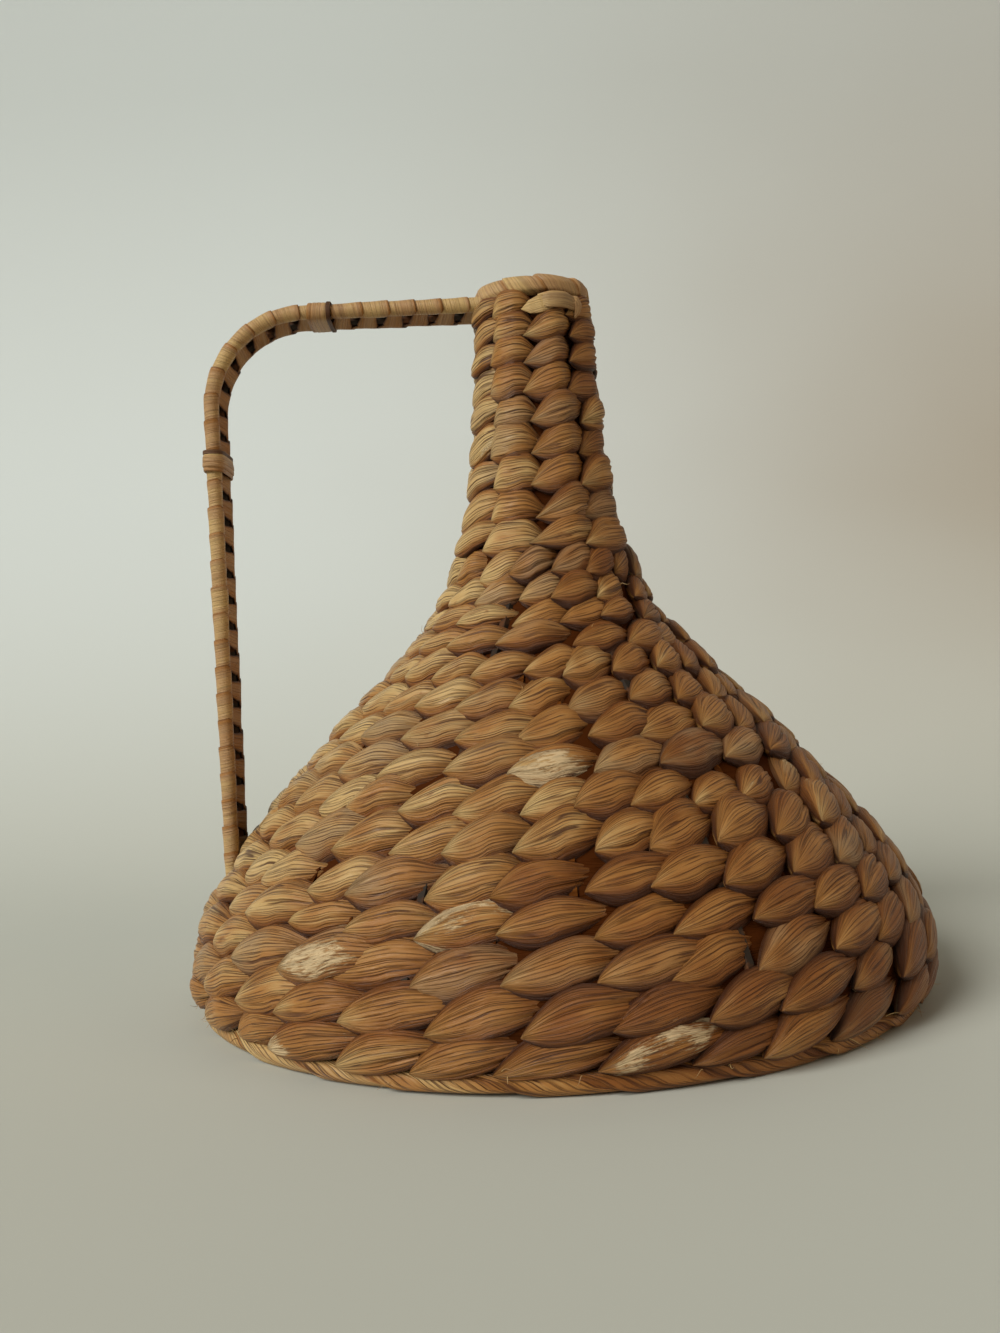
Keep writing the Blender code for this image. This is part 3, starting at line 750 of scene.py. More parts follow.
class HandleLine:
    """The middle of the handle: a length along it gives a point and the direction away from the gap."""

    def __init__(self, wall, handle):
        middle = wall.sizes.wall / 2
        level = wall.top + FIT_GAP + handle.mouth_border - handle.drop
        self.start = HANDLE_ROOT_DEPTH - wall.sizes.mouth_radius
        landing = wall.at(wall.length_at_radius(handle.reach, middle), middle)[1]
        centre = np.array((handle.bend - handle.reach, level - handle.bend))
        angles = math.pi / 2 * (1 + np.linspace(0, 1, 25))
        bend = centre + handle.bend * np.stack([np.cos(angles), np.sin(angles)], axis=1)
        points = np.vstack([[(self.start, level)], bend, [(-handle.reach, landing)]])
        dense = [points[:1]]
        for a, b in zip(points, points[1:]):
            count = max(1, int(np.linalg.norm(b - a) / 0.001))
            dense.append(a + (b - a) * np.linspace(0, 1, count + 1)[1:, None])
        self.points = np.vstack(dense)
        steps = np.linalg.norm(np.diff(self.points, axis=0), axis=1)
        self.lengths = np.concatenate([[0], np.cumsum(steps)])
        ahead = np.gradient(self.points, self.lengths, axis=0)
        ahead /= np.linalg.norm(ahead, axis=1)[:, None]
        self.out = np.stack([ahead[:, 1], -ahead[:, 0]], axis=1)
        self.total = self.lengths[-1]

    def place(self, run, aside, out):
        """Points at a length along the handle, aside from its middle and out from its gap."""
        reach = np.interp(run, self.lengths, self.points[:, 0])
        height = np.interp(run, self.lengths, self.points[:, 1])
        lean = np.interp(run, self.lengths, self.out[:, 0])
        lift = np.interp(run, self.lengths, self.out[:, 1])
        return np.stack([reach + out * lean, aside + 0 * run, height + out * lift], axis=-1)

    def carry(self, tube):
        """A tube laid out along a straight handle, bent to follow this one."""
        return self.place(*np.moveaxis(tube[0], -1, 0)), tube[1], tube[2]


def wound_strip(line, middle, reach, turns, size, swell, half, half_width, rng, tone):
    """A narrow strip wound plainly round both wires, reach to each side of a place along the handle."""
    share_done = np.linspace(0, 1, turns * 36)
    angle = share_done * turns * FULL_TURN
    size = size + swell * np.sin(math.pi * share_done)
    aside = size * np.cos(angle) + half * np.tanh(4 * np.cos(angle))
    path = np.stack([middle + (2 * share_done - 1) * reach, aside, size * np.sin(angle)], axis=-1)
    normals = np.stack([0 * angle, np.cos(angle), np.sin(angle)], axis=-1)
    return line.carry(strip_tube(path, normals, half_width, HALF_CORD, 0.10, rng, sides=12, tone=tone))


def figure_of_eight(half, radius, steps):
    """One turn round both wires.

    Returns its (aside, out) points, their normals, how open the strip is, and the run.
    """
    tangent = math.acos(radius / half)
    arc = radius * (FULL_TURN - 2 * tangent)
    cross = 2 * math.sqrt(half**2 - radius**2)
    total = 2 * (arc + cross)
    run = (np.arange(steps) / steps) * total
    second = run >= total / 2
    local = run - total / 2 * second
    side = np.where(second, -1, 1)
    bends = local < arc
    turn = np.where(bends, tangent + local / radius, -tangent)
    normals = np.stack([side * np.cos(turn), -np.sin(turn)], axis=1)
    along = np.maximum(local - arc, 0) / cross
    points = np.stack([-half * side, 0 * run], axis=1) + radius * normals
    points = points * (1 - 2 * along)[:, None]
    round_wire = eased(-0.08, 0.22, np.minimum(local, arc - local) / arc)
    between = 0.30 * eased(0.3, 1.0, np.abs(along - 0.5) * 2)
    return points, normals * side[:, None], np.where(bends, round_wire, between), run / total


class Tree:
    """Adds nodes to a node tree and joins them."""

    def __init__(self, tree):
        self.tree = tree

    def link(self, value, socket):
        """Feeds a socket from an output, or gives it a value."""
        if isinstance(value, bpy.types.NodeSocket):
            self.tree.links.new(value, socket)
        else:
            socket.default_value = value

    def add(self, kind, inputs=None, **settings):
        """A new node. An input takes a value or the output socket that feeds it."""
        node = self.tree.nodes.new(kind)
        for name, value in settings.items():
            setattr(node, name, value)
        for name, value in (inputs or {}).items():
            self.link(value, node.inputs[name])
        return node

    def math(self, operation, first, second=0.0, third=0.0, clamp=False):
        """The result of a sum on one to three numbers."""
        inputs = {0: first, 1: second, 2: third}
        return self.add("ShaderNodeMath", inputs, operation=operation, use_clamp=clamp).outputs[0]

    def times(self, first, second):
        """The product of two numbers."""
        return self.math("MULTIPLY", first, second)

    def blend(self, factor, first, second):
        """A blend of two colours."""
        inputs = {"Factor": factor, 6: first, 7: second}
        return self.add("ShaderNodeMix", inputs, data_type="RGBA", blend_type="MIX").outputs[2]

    def ramp(self, value, low, high, start=0.0, end=1.0):
        """The value moved smoothly from one range to another."""
        inputs = {"Value": value, "From Min": low, "From Max": high, "To Min": start, "To Max": end}
        return self.add("ShaderNodeMapRange", inputs, interpolation_type="SMOOTHSTEP").outputs["Result"]

    def vector(self, operation, first, second):
        """The result of a sum on two vectors."""
        return self.add("ShaderNodeVectorMath", {0: first, 1: second}, operation=operation).outputs[0]

    def parts(self, vector):
        """The three numbers of a vector."""
        return self.add("ShaderNodeSeparateXYZ", {0: vector}).outputs

    def joined(self, x, y, z):
        """A vector of three numbers."""
        return self.add("ShaderNodeCombineXYZ", {0: x, 1: y, 2: z}).outputs[0]

    def noise(self, place, scale, detail=2.0, rough=0.5):
        """A cloudy value at the scaled place."""
        scaled = self.vector("MULTIPLY", place, scale)
        inputs = {"Vector": scaled, "Scale": 1.0, "Detail": detail, "Roughness": rough}
        return self.add("ShaderNodeTexNoise", inputs).outputs["Fac"]


def shader_group(name, inputs, outputs):
    """An empty node group with those sockets. Returns its tree, its inputs and its output node."""
    group = bpy.data.node_groups.new(name, "ShaderNodeTree")
    for socket, kind, default in inputs:
        made = group.interface.new_socket(socket, in_out="INPUT", socket_type=f"NodeSocket{kind}")
        made.default_value = default
    for socket, kind in outputs:
        group.interface.new_socket(socket, in_out="OUTPUT", socket_type=f"NodeSocket{kind}")
    tree = Tree(group)
    return tree, tree.add("NodeGroupInput").outputs, tree.add("NodeGroupOutput")


def finish_group(tree, end, **results):
    """Joins the results to the group's outputs, whose names are written in small letters here."""
    for name, socket in results.items():
        tree.link(socket, end.inputs[name.capitalize()])


def fibre_group():
    """Lengthwise creases and threads of a dry leaf. Place is in millimetres along and across it."""
    sockets = [("Place", "Vector", (0, 0, 0)), ("Fineness", "Float", 1.0), ("Creased", "Float", 1.0)]
    results = [("Streak", "Float"), ("Crease", "Float"), ("Height", "Float")]
    tree, given, end = shader_group("Leaf fibres", sockets, results)
    sway = tree.math("SUBTRACT", tree.noise(given["Place"], (0.06, 0.12, 1.0), 1.0, 0.5), 0.5)
    place = tree.vector("ADD", given["Place"], tree.joined(0.0, tree.times(sway, 0.6), 0.0))
    place = tree.vector("MULTIPLY", place, tree.joined(1.0, given["Fineness"], 1.0))
    thread = tree.noise(place, (0.05, 2.6, 1.0), 3.0, 0.68)
    band = tree.noise(place, (0.03, 0.75, 1.0), 2.0, 0.5)
    creases = 0.0
    rows = tree.parts(place)["Y"]
    for often, layer, sharp, deep, low in PLEATS:
        wander = tree.noise(place, (0.016, 0.24, layer), 2.0, 0.5)
        turns = tree.math("MULTIPLY_ADD", wander, 3.0, tree.times(rows, often))
        wave = tree.math("COSINE", tree.times(turns, FULL_TURN))
        line = tree.ramp(wave, sharp, 1.0, 0.0, deep)
        open_here = tree.ramp(tree.noise(place, (0.09, 0.40, layer + 5.0), 1.0, 0.5), low, low + 0.14)
        creases = tree.math("MAXIMUM", creases, tree.times(line, open_here))
    crease = tree.times(creases, given["Creased"])
    streak = tree.math("ADD", tree.times(thread, 0.75), tree.times(band, 0.25))
    height = tree.math("ADD", thread, tree.times(band, 0.3))
    height = tree.math("MULTIPLY_ADD", crease, -0.8, height)
    finish_group(tree, end, streak=streak, crease=crease, height=height)


def tone_group():
    """The colour of a leaf from its tone, from brown over tan to straw.

    Some leaves are grey and the tip is pale; painted shade darkens creases, the tucked end and low tones.
    """
    sockets = [("Place", "Vector", (0, 0, 0)), ("Make", "Vector", (0, 0, 0))]
    sockets += [("Streak", "Float", 0.5), ("Crease", "Float", 0.0)]
    sockets += [(name, "Color", (1, 1, 1, 1)) for name in ("Straw", "Tan", "Brown", "Grey", "Dark")]
    tree, given, end = shader_group("Leaf tone", sockets, [("Colour", "Color")])
    make = tree.parts(given["Make"])
    cloud = tree.noise(given["Place"], (0.07, 0.22, 1.0), 2.0, 0.5)
    wander = tree.math("MULTIPLY_ADD", tree.math("SUBTRACT", cloud, 0.5), 1.1, make["X"])
    wander = tree.math("ADD", tree.math("SUBTRACT", given["Streak"], 0.5), wander)
    tip = tree.ramp(make["Y"], 0.0, 0.34, 0.26, 0.0)
    # Painted shade: the end that tucks in under the next strand is drawn darker
    tucked_shade = tree.ramp(make["Y"], 0.55, 1.0, 0.0, 0.30)
    value = tree.math("SUBTRACT", tree.math("ADD", wander, tip), tucked_shade)
    shade = tree.blend(tree.ramp(value, -0.15, 0.42), given["Brown"], given["Tan"])
    shade = tree.blend(tree.ramp(value, 0.35, 1.0), shade, given["Straw"])
    lot = tree.math("FRACT", tree.times(tree.parts(given["Place"])["Z"], 0.37))
    weathered = tree.times(tree.ramp(lot, 0.72, 0.95), tree.ramp(cloud, 0.35, 0.7))
    shade = tree.blend(tree.times(weathered, 0.8), shade, given["Grey"])
    spots = tree.noise(given["Place"], (0.16, 0.35, 1.0), 3.0, 0.6)
    shade = tree.blend(tree.ramp(spots, 0.63, 0.74, 0.0, 0.55), shade, given["Brown"])
    # Painted shade: the lowest tones, from the grooves, the laps, the edges and the lining, blend to the
    # dark colour
    shade = tree.blend(tree.ramp(make["X"], -0.80, 0.0, 0.92, 0.0), shade, given["Dark"])
    # Painted shade in the creases, deeper away from the tip
    deep = tree.times(given["Crease"], tree.ramp(make["Y"], 0.0, 0.45, 0.50, 0.90))
    finish_group(tree, end, colour=tree.blend(deep, shade, given["Dark"]))


def wear_group():
    """Where the skin of a leaf is rubbed off: frayed patches that follow its fibres."""
    sockets = [("Place", "Vector", (0, 0, 0)), ("Amount", "Float", 0.0)]
    tree, given, end = shader_group("Leaf wear", sockets, [("Mask", "Float"), ("Fray", "Float")])
    patch = tree.noise(given["Place"], (0.055, 0.15, 1.0), 2.0, 0.5)
    fray = tree.noise(given["Place"], (0.30, 2.6, 1.0), 3.0, 0.7)
    value = tree.math("MULTIPLY_ADD", tree.math("SUBTRACT", fray, 0.5), 0.45, patch)
    edge = tree.math("SUBTRACT", 0.81, tree.times(given["Amount"], 0.27))
    mask = tree.ramp(tree.math("SUBTRACT", value, edge), 0.0, 0.09)
    finish_group(tree, end, mask=mask, fray=fray)


def group_node(tree, name, **inputs):
    """A node for one of the shared groups. Its inputs' names are written in small letters here."""
    node = tree.add("ShaderNodeGroup", node_tree=bpy.data.node_groups[name])
    for key, value in inputs.items():
        tree.link(value, node.inputs[key.capitalize()])
    return node.outputs


def four(values):
    """A colour with its alpha."""
    return (*values, 1.0)


def new_material(name):
    """An empty material with its shader. Returns the material, its tree and the shader's inputs."""
    made = bpy.data.materials.new(name)
    made.use_nodes = True
    made.node_tree.nodes.clear()
    tree = Tree(made.node_tree)
    shader = tree.add("ShaderNodeBsdfPrincipled")
    tree.add("ShaderNodeOutputMaterial", {"Surface": shader.outputs["BSDF"]})
    return made, tree, shader.inputs


def bumped(tree, shader, height, strength, distance):
    """Gives the shader a bumpy surface."""
    bump = tree.add("ShaderNodeBump", {"Strength": strength, "Distance": distance, "Height": height})
    tree.link(bump.outputs["Normal"], shader["Normal"])


def leaf_material(name, look, tones, fineness, creased, wear, smooth, shine=0.34, spread=None):
    """Dry leaf with fibres, creases, a mixed tone and worn patches.

    tones are straw, tan, brown and grey. A piece without the leaf's coordinates has its own place spread
    to millimetres instead.
    """
    made, tree, shader = new_material(name)
    if spread:
        place = tree.vector("MULTIPLY", tree.add("ShaderNodeTexCoord").outputs["Object"], spread)
        make = tree.joined(tree.noise(place, (0.02, 0.3, 0.02)), 0.5, 0.1)
    else:
        place = tree.add("ShaderNodeAttribute", attribute_name="leaf_place").outputs["Vector"]
        make = tree.add("ShaderNodeAttribute", attribute_name="leaf_make").outputs["Vector"]
    fibres = group_node(tree, "Leaf fibres", place=place, fineness=fineness, creased=creased)
    colours = {part: four(tone) for part, tone in zip(("straw", "tan", "brown", "grey"), tones)}
    colours["dark"] = four(look.crease)
    lines = {"streak": fibres["Streak"], "crease": fibres["Crease"]}
    shade = group_node(tree, "Leaf tone", place=place, make=make, **lines, **colours)["Colour"]
    amount = tree.times(tree.parts(make)["Z"], wear)
    worn = group_node(tree, "Leaf wear", place=place, amount=amount)
    rubbed = tree.blend(tree.ramp(worn["Fray"], 0.25, 0.50), four(look.tan), four(look.worn))
    tree.link(tree.blend(tree.times(worn["Mask"], 0.85), shade, rubbed), shader["Base Color"])
    rough = tree.ramp(fibres["Streak"], 0.3, 0.7, smooth + 0.14, smooth)
    tree.link(tree.math("MULTIPLY_ADD", worn["Mask"], 0.3, rough, clamp=True), shader["Roughness"])
    frayed = tree.times(worn["Mask"], worn["Fray"])
    bumped(tree, shader, tree.math("MULTIPLY_ADD", frayed, 0.8, fibres["Height"]), 0.8, 0.0005)
    shader["Specular IOR Level"].default_value = shine
    return made


def wire_material(name, look):
    """Dark iron wire with rust."""
    made, tree, shader = new_material(name)
    spot = tree.add("ShaderNodeTexCoord").outputs["Object"]
    cloud = tree.noise(spot, (180.0, 180.0, 180.0), 4.0, 0.6)
    grain = tree.noise(spot, (1500.0, 1500.0, 1500.0), 2.0, 0.5)
    rusty = tree.ramp(cloud, 0.48, 0.62)
    tree.link(tree.blend(rusty, four(look.wire), four(look.rust)), shader["Base Color"])
    shader["Specular IOR Level"].default_value = 0.15
    tree.link(tree.ramp(rusty, 0.0, 1.0, 0.65, 0.9), shader["Roughness"])
    tree.link(tree.ramp(rusty, 0.0, 1.0, 0.4, 0.05), shader["Metallic"])
    bumped(tree, shader, tree.math("MULTIPLY_ADD", rusty, 0.6, grain), 0.5, 0.00015)
    return made


def material(name):
    """One of the flask's materials, with the shared groups built first."""
    if name in bpy.data.materials:
        return bpy.data.materials[name]
    look = bpy.context.scene.leaf_look
    if "Leaf fibres" not in bpy.data.node_groups:
        for build in (fibre_group, tone_group, wear_group):
            build()
    if name == "Iron wire":
        return wire_material(name, look)
    usual = (look.straw, look.tan, look.brown, look.grey)
    strips = (look.straw, look.strip, look.tan, look.grey)
    dark = (look.binding, look.binding, look.crease, look.binding)
    # Painted shade: the lining and the stakes take dark tones, as they show only in the shaded gaps
    painted_shade_tones = (look.brown, look.crease, look.crease, look.crease)
    # Tones, how fine and how creased the leaf is, how worn, how rough, its shine and its spread
    leaves = {
        "Twined leaf": (usual, 1.5, 1.0, 1.0, 0.38),
        "Leaf strip": (strips, 1.2, 0.35, 0.8, 0.42),
        "Dark leaf strip": (dark, 1.6, 0.8, 0.1, 0.5),
        "Inner leaf": (painted_shade_tones, 1.5, 1.0, 0.0, 0.7, HIDDEN_SHINE),
        "Rolled leaf stake": (painted_shade_tones, 1.0, 1.0, 0.1, 0.7, HIDDEN_SHINE, (900.0, 900.0, 120.0)),
    }
    return leaf_material(name, look, *leaves[name])


def dressed(piece, slot, *nodes):
    """The piece rides on the flask and stands for those solids. Its slot is not used."""
    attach(piece, "root")
    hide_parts(*nodes)


class FLASK_OT_body(bpy.types.Operator):
    """Twine the wall of the body, strand by strand"""

    bl_idname = "flask.body"
    bl_label = "Body weave"

    def execute(self, context):
        sizes = context.scene.flask_sizes
        wall = Wall(sizes)
        bottom = wall.length_at_height(sizes.body_bottom - FIRST_COURSE_DROP)
        edges = course_edges(bottom, wall.length_at_height(sizes.shoulder_height), BODY_COURSE_SHARES)
        style = StrandStyle()
        rng = np.random.default_rng(SEEDS["body"])
        courses = []
        done = 0
        for courses_here, count, tip in BODY_COUNTS:
            for low, high in zip(edges[done : done + courses_here], edges[done + 1 :]):
                first = FRONT + math.radians(tip) + rng.normal(0, 0.012)
                strands = even_strands(count, first, style, rng)
                courses.append(twined_course(wall.surface, low, high, strands, style, rng, WORN_PLACES))
            done += courses_here
        finish = material("Twined leaf")
        for start in range(0, len(courses), 3):
            name = f"body_courses_{start + 1:02d}_to_{start + 3:02d}"
            dressed(tube_mesh(name, courses[start : start + 3], finish), "leaf_weave", "body_weave")
        span = (edges[0], edges[-1], len(courses), LINING_DEPTH, sizes.wall)
        lined("body_inner_strands", wall.surface, *span, 120, "body_weave", rng)
        return {"FINISHED"}


class FLASK_OT_neck(bpy.types.Operator):
    """Twine the neck over its eight wires"""

    bl_idname = "flask.neck"
    bl_label = "Neck weave"

    def execute(self, context):
        sizes = context.scene.flask_sizes
        wall = Wall(sizes)
        top = wall.length_at_height(wall.top + LAST_COURSE_RISE)
        edges = course_edges(wall.length_at_height(sizes.shoulder_height), top, NECK_COURSE_SHARES)
        columns, peaks, starts, lifts, falls, blunts = np.array(NECK_COLUMNS).T
        widths = np.radians(np.diff(columns, append=columns[0] + 360))
        style = StrandStyle(
            rings=30,
            peak=peaks,
            lift_start=starts,
            lift=lifts,
            fall=falls,
            blunt=blunts,
            dip=0.13,
            wide=1.28,
            tone=0.12,
            tip_depth=0.0008,
            end_depth=0.0036,
            tip_run=0.24,
            fullness=0.44,
            uneven=1.1,
        )
        rng = np.random.default_rng(SEEDS["neck"])
        courses = []
        for low, high in zip(edges, edges[1:]):
            tips = FRONT + np.radians(columns) + rng.normal(0, 0.05, len(columns))
            reaches = widths * rng.uniform(1.36, 1.50, len(columns))
            courses.append(twined_course(wall.surface, low, high, (tips, reaches), style, rng))
        dressed(tube_mesh("neck_courses", courses, material("Twined leaf")), "leaf_weave", "neck_weave")
        span = (edges[0], top + 0.0004, len(courses), LINING_DEPTH, sizes.wall)
        lined("neck_inner_strands", wall.surface, *span, 48, "neck_weave", rng)
        return {"FINISHED"}


class FLASK_OT_base(bpy.types.Operator):
    """Twine the base in rounds from its middle"""

    bl_idname = "flask.base"
    bl_label = "Base weave"

    def execute(self, context):
        sizes = context.scene.flask_sizes
        wall = Wall(sizes)
        surface = base_surface(sizes)
        edge = foot_hoop_radius(wall) - sizes.wall / 2 - 0.0004
        rng = np.random.default_rng(SEEDS["base"])
        style = StrandStyle(rings=18, front=26, dip=0.10, tip_depth=0.0020, end_depth=0.0026, fullness=0.42)
        courses = []
        for number in range(sizes.base_courses):
            near, far = (edge * done / sizes.base_courses for done in (number, number + 1))
            count = max(5, round(math.pi * (near + far) / 0.0185))
            strands = even_strands(count, rng.uniform(0, FULL_TURN), style, rng)
            courses.append(twined_course(surface, near + 0.0004, far, strands, style, rng))
        dressed(tube_mesh("base_rounds", courses, material("Twined leaf")), "leaf_weave", "base_weave")
        span = (0.0005, edge, sizes.base_courses, BASE_LINING_DEPTH, sizes.base_thickness)
        lined("base_inner_strands", surface, *span, 96, "base_weave", rng)
        return {"FINISHED"}


class FLASK_OT_foot_border(bpy.types.Operator):
    """Wind the strip round the foot hoop"""

    bl_idname = "flask.foot_border"
    bl_label = "Foot border"

    def execute(self, context):
        sizes = context.scene.flask_sizes
        half_up = sizes.foot_border / 2 + 0.0003
        made = shingled_ring(
            "foot_wrap",
            foot_hoop_radius(Wall(sizes)) + 0.0001,
            half_up,
            sizes.wall / 2 + 0.0004,
            half_up,
            material("Twined leaf"),
            np.random.default_rng(SEEDS["foot"]),
            seams=25,
            slant=2,
            square=0.66,
            step=0.0008,
            shade=-0.12,
        )
        dressed(made, "leaf_strip", "foot_border")
        return {"FINISHED"}


class FLASK_OT_mouth(bpy.types.Operator):
    """Wind the strip round the mouth hoop and tie its end over the wall"""

    bl_idname = "flask.mouth"
    bl_label = "Mouth border and tie"

    def execute(self, context):
        sizes = context.scene.flask_sizes
        handle = context.scene.handle_sizes
        wall = Wall(sizes)
        finish = material("Leaf strip")
        rng = np.random.default_rng(SEEDS["mouth"])
        size = handle.mouth_border + 0.0001
        wrap = shingled_ring(
            "mouth_wrap",
            sizes.mouth_radius - sizes.wall / 2,
            wall.top + FIT_GAP + handle.mouth_border,
            size,
            size + 0.0001,
            finish,
            rng,
            seams=9,
            slant=1,
            square=0.9,
            step=0.0005,
            shade=0.08,
        )
        dressed(wrap, "leaf_strip", "mouth_border")
        run = np.linspace(0, 1, 36)
        strips = []
        for *fold, tone in TIE_FOLDS:
            parts = (np.interp(run, np.linspace(0, 1, len(places)), places) for places in fold)
            degrees, drops, widths, depths = parts
            angles = FRONT + np.radians(degrees)
            place = wall.length_at_height(wall.top - drops * MILLIMETRE)
            path = wall.surface(place, angles, depths * MILLIMETRE)
            half = widths * MILLIMETRE / 2
            normals = cylinder_place(1.0, angles, 0 * angles)
            look = {"sides": 20, "tone": tone, "wear": 0.35, "roll": 0.05}
            strips.append(strip_tube(path, normals, half, HALF_STRIP, 0.0, rng, **look))
        dressed(tube_mesh("mouth_tie_strip", strips, finish), "leaf_strip", "mouth_tie")
        return {"FINISHED"}


class FLASK_OT_handle(bpy.types.Operator):
    """Wind the strips round the two handle wires and bind their ends"""

    bl_idname = "flask.handle"
    bl_label = "Handle wraps and bindings"

    def execute(self, context):
        handle = context.scene.handle_sizes
        wall = Wall(context.scene.flask_sizes)
        line = HandleLine(wall, handle)
        rng = np.random.default_rng(SEEDS["handle"])
        half = handle.wire_spacing / 2
        top_middle = handle.top_binding + line.start
        straight = handle.reach - handle.bend + line.start
        drop_middle = straight + math.pi / 2 * handle.bend + (handle.drop_binding - handle.bend)
        gap = handle.binding / 2
        stretches = {
            "top": (0.0, top_middle - gap + WRAP_REACH),
            "bend": (top_middle + gap - WRAP_REACH, drop_middle - gap + LONG_WRAP_REACH),
            "drop": (drop_middle + gap - WRAP_REACH, line.total + 0.002),
        }
        finish = material("Leaf strip")
        steps = 44
        eight, flat, opened, shares = figure_of_eight(half, handle.bead - 0.0004, steps)
        for name, (start, end) in stretches.items():
            turns = max(2, round((end - start) / handle.pitch))
            pitch = (end - start) / turns
            number = np.arange(turns * steps + 1)
            which = number % steps
            run = start + pitch * (number // steps + shares[which])
            wander = 1 + 0.05 * np.sin(number / steps * 2.1 + start * 90)
            swell = 0.00012 * rng.uniform(-1, 1, turns + 2)[number // steps]
            path = np.stack([run, eight[which, 0], eight[which, 1] * wander], axis=-1)
            path[:, 1:] += flat[which] * swell[:, None]
            normals = np.stack([0 * run, flat[which, 0], flat[which, 1]], axis=-1)
            front = np.where(which < steps / 2, 1.0, -1.0)
            width = (0.0024 + 0.0023 * opened[which]) * (pitch / handle.pitch)
            lean = 0.045 * front * opened[which]
            tones = 0.45 + 0.45 * np.interp(number / steps, np.arange(turns + 2), rng.random(turns + 2))
            # Painted shade: the strip is drawn darker where it lies on the back side of the handle
            tones = tones - 0.45 * (eight[which, 0] > 0)
            look = {"sides": 16, "tone": tones, "wear": 0.35, "edge_shade": 1.1}
            strip = line.carry(strip_tube(path, normals, width, handle.strip / 2, lean, rng, **look))
            piece = tube_mesh(f"handle_strip_{name}", [strip], finish)
            dressed(piece, "leaf_strip", f"handle_wrap_{name}")
        dark = material("Dark leaf strip")
        bindings = (("top", top_middle, 0.0, 0.0001), ("drop", drop_middle, 0.0002, 0.0005))
        for name, middle, proud, swell in bindings:
            size = handle.bead + proud
            node = f"handle_binding_{name}"
            wide = (handle.binding - 0.0012) / 2
            winding = wound_strip(line, middle, wide, 4, size, swell, half, 0.00105, rng, 0.45)
            dressed(tube_mesh(f"{node}_winding", [winding], finish), "leaf_binding", node)
            edge = middle - handle.binding / 2 + 0.0005 * (name == "drop")
            cord = wound_strip(line, edge, 0.0005, 2, size + 0.0003, 0.0, half, 0.00035, rng, 0.3)
            dressed(tube_mesh(f"{node}_cord", [cord], dark), "leaf_binding", node)
        return {"FINISHED"}


class FLASK_OT_loose_fibres(bpy.types.Operator):
    """Add the loose fibres at the foot and on the weave"""

    bl_idname = "flask.loose_fibres"
    bl_label = "Loose fibres"

    def execute(self, context):
        wall = Wall(context.scene.flask_sizes)
        rng = np.random.default_rng(SEEDS["fibres"])
        hairs = []
        for i in range(70):
            low = i < 46
            angle = rng.uniform(0, FULL_TURN)
            height = rng.uniform(0.0012, 0.006) if low else rng.uniform(0.006, 0.11)
            start = wall.length_at_height(height)
            size = rng.uniform(0.002, 0.0055) if low else rng.uniform(0.0015, 0.0035)
            run = np.linspace(0, 1, 9)
            swing = rng.uniform(-1.0, 1.0)
            along = angle + swing * size / 0.09 * run**1.2
            lift = size * rng.uniform(-0.25, 0.6) * run + 0.0004 * np.sin(run * rng.uniform(3, 8))
            path = wall.surface(start + lift, along, 0.0012 - size * 0.7 * run**1.3)
            path[:, 2] = np.maximum(path[:, 2], 0.0002)
            normals = cylinder_place(1.0, along, 0 * along)
            thin = 0.00011 * (1 - 0.75 * run)
            tone = rng.uniform(0.6, 1.2)
            hairs.append(strip_tube(path, normals, thin, thin, 0.0, rng, sides=5, tone=tone))
        piece = tube_mesh("loose_fibres", hairs, material("Leaf strip"))
        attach(piece, "root")
        return {"FINISHED"}


class FLASK_OT_frame(bpy.types.Operator):
    """Give the wires and the stakes their finishes"""

    bl_idname = "flask.frame"
    bl_label = "Wires and stakes"

    def execute(self, context):
        for name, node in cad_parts.items():
            stake = name.startswith("stake_")
            if stake or not node.hide_render:
                node.data.materials.clear()
                # The stakes take dark leaf tones as painted shade, since they show only in the gaps
                node.data.materials.append(material("Rolled leaf stake" if stake else "Iron wire"))
        return {"FINISHED"}


def paper_material(look):
    """Pale paper that turns from the floor's colour to the backdrop's, with painted shade to the right."""
    finish, tree, shader = new_material("Pale paper")
    spot = tree.add("ShaderNodeTexCoord").outputs["Object"]
    cloud = tree.math("SUBTRACT", tree.noise(spot, (3.0, 3.0, 3.0), 2.0, 0.5), 0.5)
    part = tree.parts(spot)
    # Painted shade: the backdrop is drawn darker and warmer to the right, less so higher up
    aside = tree.ramp(tree.math("MULTIPLY_ADD", cloud, 0.2, part["X"]), -0.22, 0.60)
    aside = tree.times(aside, tree.ramp(part["Z"], 0.15, 0.70, 1.0, 0.40))
    wall = tree.blend(aside, four(look.left), four(look.right))
    away = tree.ramp(tree.math("ADD", part["Y"], part["Z"]), -0.05, 0.95)
    tree.link(tree.blend(away, four(look.floor), wall), shader["Base Color"])
    shader["Roughness"].default_value = 0.9
    return finish


def paper_sweep(look):
    """A sheet of paper that lies on the floor and bends up behind the flask."""
    angles = np.linspace(0, math.pi / 2, 25)
    reach = SWEEP_START + SWEEP_BEND * np.sin(angles)
    bend = np.stack([reach, SWEEP_BEND * (1 - np.cos(angles))], axis=1)
    outline = [(-SWEEP_FRONT, 0.0), *bend.tolist(), (SWEEP_START + SWEEP_BEND, SWEEP_HEIGHT)]
    corners = [(aside, *place) for place in outline for aside in (-SWEEP_SIDE, SWEEP_SIDE)]
    faces = [(i, i + 1, i + 3, i + 2) for i in range(0, len(corners) - 2, 2)]
    mesh = bpy.data.meshes.new("paper_sweep")
    mesh.from_pydata(corners, [], faces)
    mesh.materials.append(paper_material(look))
    mesh.shade_smooth()
    paper = bpy.data.objects.new("paper_sweep", mesh)
    bpy.context.scene.collection.objects.link(paper)


